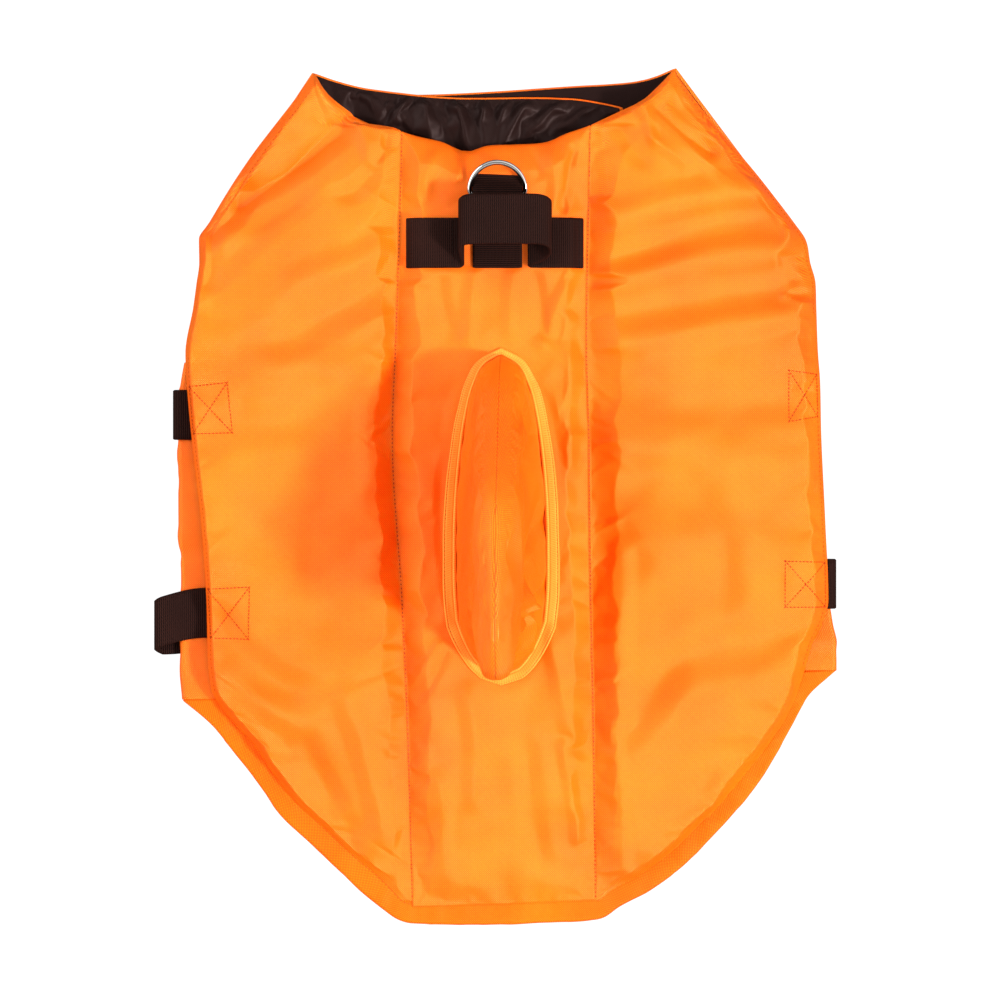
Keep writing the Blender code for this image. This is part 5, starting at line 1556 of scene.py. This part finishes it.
def make_ring():
    """The wire swept round the ring's own plane, which is then tipped up."""
    half, corner = (RING_INNER + RING_WIRE) / 2, RING_CORNER
    path = arc(half - corner, corner, corner, -90.0, -9.0, 10)
    path += arc(0.0, corner, half, 0.0, 180.0, 73)
    path += arc(corner - half, corner, corner, 189.0, 270.0, 10)
    path += [(x, 0.0) for x in (-8.0, -4.0, 0.0, 4.0, 8.0)]
    path = np.array(path)
    along = unit(np.roll(path, -1, axis=0) - np.roll(path, 1, axis=0))
    angle = 2 * math.pi * np.arange(WIRE_SIDES) / WIRE_SIDES
    radius = RING_WIRE / 2
    x = path[:, [0]] + along[:, [1]] * radius * np.cos(angle)[None, :]
    reach = path[:, [1]] - along[:, [0]] * radius * np.cos(angle)[None, :]
    up = np.repeat(radius * np.sin(angle)[None, :], len(path), axis=0)
    y = reach * math.cos(RING_TILT) - up * math.sin(RING_TILT)
    z = reach * math.sin(RING_TILT) + up * math.cos(RING_TILT)
    points = np.dstack([x + RING_X, y + RING_Y, z + BACK_TOP + 0.35 + radius])
    faces = []
    for i in range(len(path)):
        here, there = i * WIRE_SIDES, (i + 1) % len(path) * WIRE_SIDES
        for k in range(WIRE_SIDES):
            beside = (k + 1) % WIRE_SIDES
            faces.append((here + k, there + k, there + beside, here + beside))
    no_uv = np.zeros((len(path) * WIRE_SIDES, 2))
    ring = new_piece("chrome_ring", points.reshape(-1, 3), faces, no_uv, [chrome_finish()])
    declare(ring, "d_ring", body="ring")


make_ring()


# --------------------------------------------------------- floor, light, camera
# A plain floor that only the camera sees as white, a key light from the right and
# a little from the tail, a soft fill from the left, and a camera straight above.

# How bright the studio is by height: soft boxes stand round the table at middle
# height, brighter on the right, and the ceiling is dark.
SKY = [(0.0, 0.12), (0.30, 0.50), (0.55, 1.35), (0.80, 1.25), (0.93, 0.42), (1.0, 0.25)]
SKY_STRENGTH, SKY_TO_RIGHT = 1.10, 0.6
# Each lamp: its strength, how wide it is in degrees, and where it shines from.
LAMPS = {"key": (3.9, 7.0, (0.89, -0.40, 0.91)), "fill": (2.8, 60.0, (-0.9, 0.2, 0.42))}
FLOOR_REACH, FLOOR_Z = 3.0, -0.0004
FLOOR_GREY = 0.06
CAMERA_X, CAMERA_Y, CAMERA_Z = 0.0023, 0.0010, 3.2
CAMERA_LENS = 220.7


def plain_floor():
    made = bpy.data.materials.new("pale_floor")
    made.use_nodes = True
    tree = made.node_tree
    seen = tree.nodes.new("ShaderNodeLightPath")
    fill(tree, tree.nodes["Principled BSDF"], {
        "Base Color": (FLOOR_GREY, FLOOR_GREY, FLOOR_GREY, 1.0),
        "Roughness": 0.9,
        "Emission Color": (1.0, 1.0, 1.0, 1.0),
        "Emission Strength": seen.outputs["Is Camera Ray"],
    })
    mesh = bpy.data.meshes.new("floor")
    corners = [(x * FLOOR_REACH, y * FLOOR_REACH, FLOOR_Z) for x, y in ((-1, -1), (1, -1), (1, 1), (-1, 1))]
    mesh.from_pydata(corners, [], [(0, 1, 2, 3)])
    mesh.materials.append(made)
    in_scene("floor", mesh)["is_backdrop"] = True


def aim(thing, place, target):
    thing.location = place
    thing.rotation_mode = "QUATERNION"
    thing.rotation_quaternion = (Vector(target) - Vector(place)).to_track_quat("-Z", "Y")


def studio_sky():
    world = bpy.data.worlds.new("studio")
    bpy.context.scene.world = world
    world.use_nodes = True
    tree = world.node_tree
    around = tree.nodes.new("ShaderNodeTexCoord")
    split = add_node(tree, "ShaderNodeSeparateXYZ", {0: around.outputs["Generated"]})
    glow = add_node(tree, "ShaderNodeValToRGB", {"Fac": split.outputs["Z"]})
    ramp = glow.color_ramp
    ramp.interpolation = "EASE"
    for place, grey in SKY[1:-1]:
        ramp.elements.new(place).color = (grey, grey, grey, 1.0)
    for element, (place, grey) in zip((ramp.elements[0], ramp.elements[-1]), (SKY[0], SKY[-1])):
        element.position = place
        element.color = (grey, grey, grey, 1.0)
    strength = Signal(tree, split.outputs["X"]) * SKY_TO_RIGHT + SKY_STRENGTH
    fill(tree, tree.nodes["Background"], {"Color": glow.outputs["Color"], "Strength": strength})


def lamps_and_camera():
    for name, (energy, spread, place) in LAMPS.items():
        sun = bpy.data.lights.new(name, "SUN")
        sun.energy = energy
        sun.angle = math.radians(spread)
        aim(in_scene(name, sun), place, (0.0, 0.0, 0.0))
    camera = in_scene("camera", bpy.data.cameras.new("camera"))
    camera.data.lens = CAMERA_LENS
    camera.data.sensor_width = 36.0
    camera.data.clip_start, camera.data.clip_end = 0.05, 20.0
    aim(camera, (CAMERA_X, CAMERA_Y, CAMERA_Z), (CAMERA_X, CAMERA_Y, 0.0))
    bpy.context.scene.camera = camera
    bpy.context.scene.view_settings.view_transform = "Standard"


plain_floor()
studio_sky()
lamps_and_camera()

low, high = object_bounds()
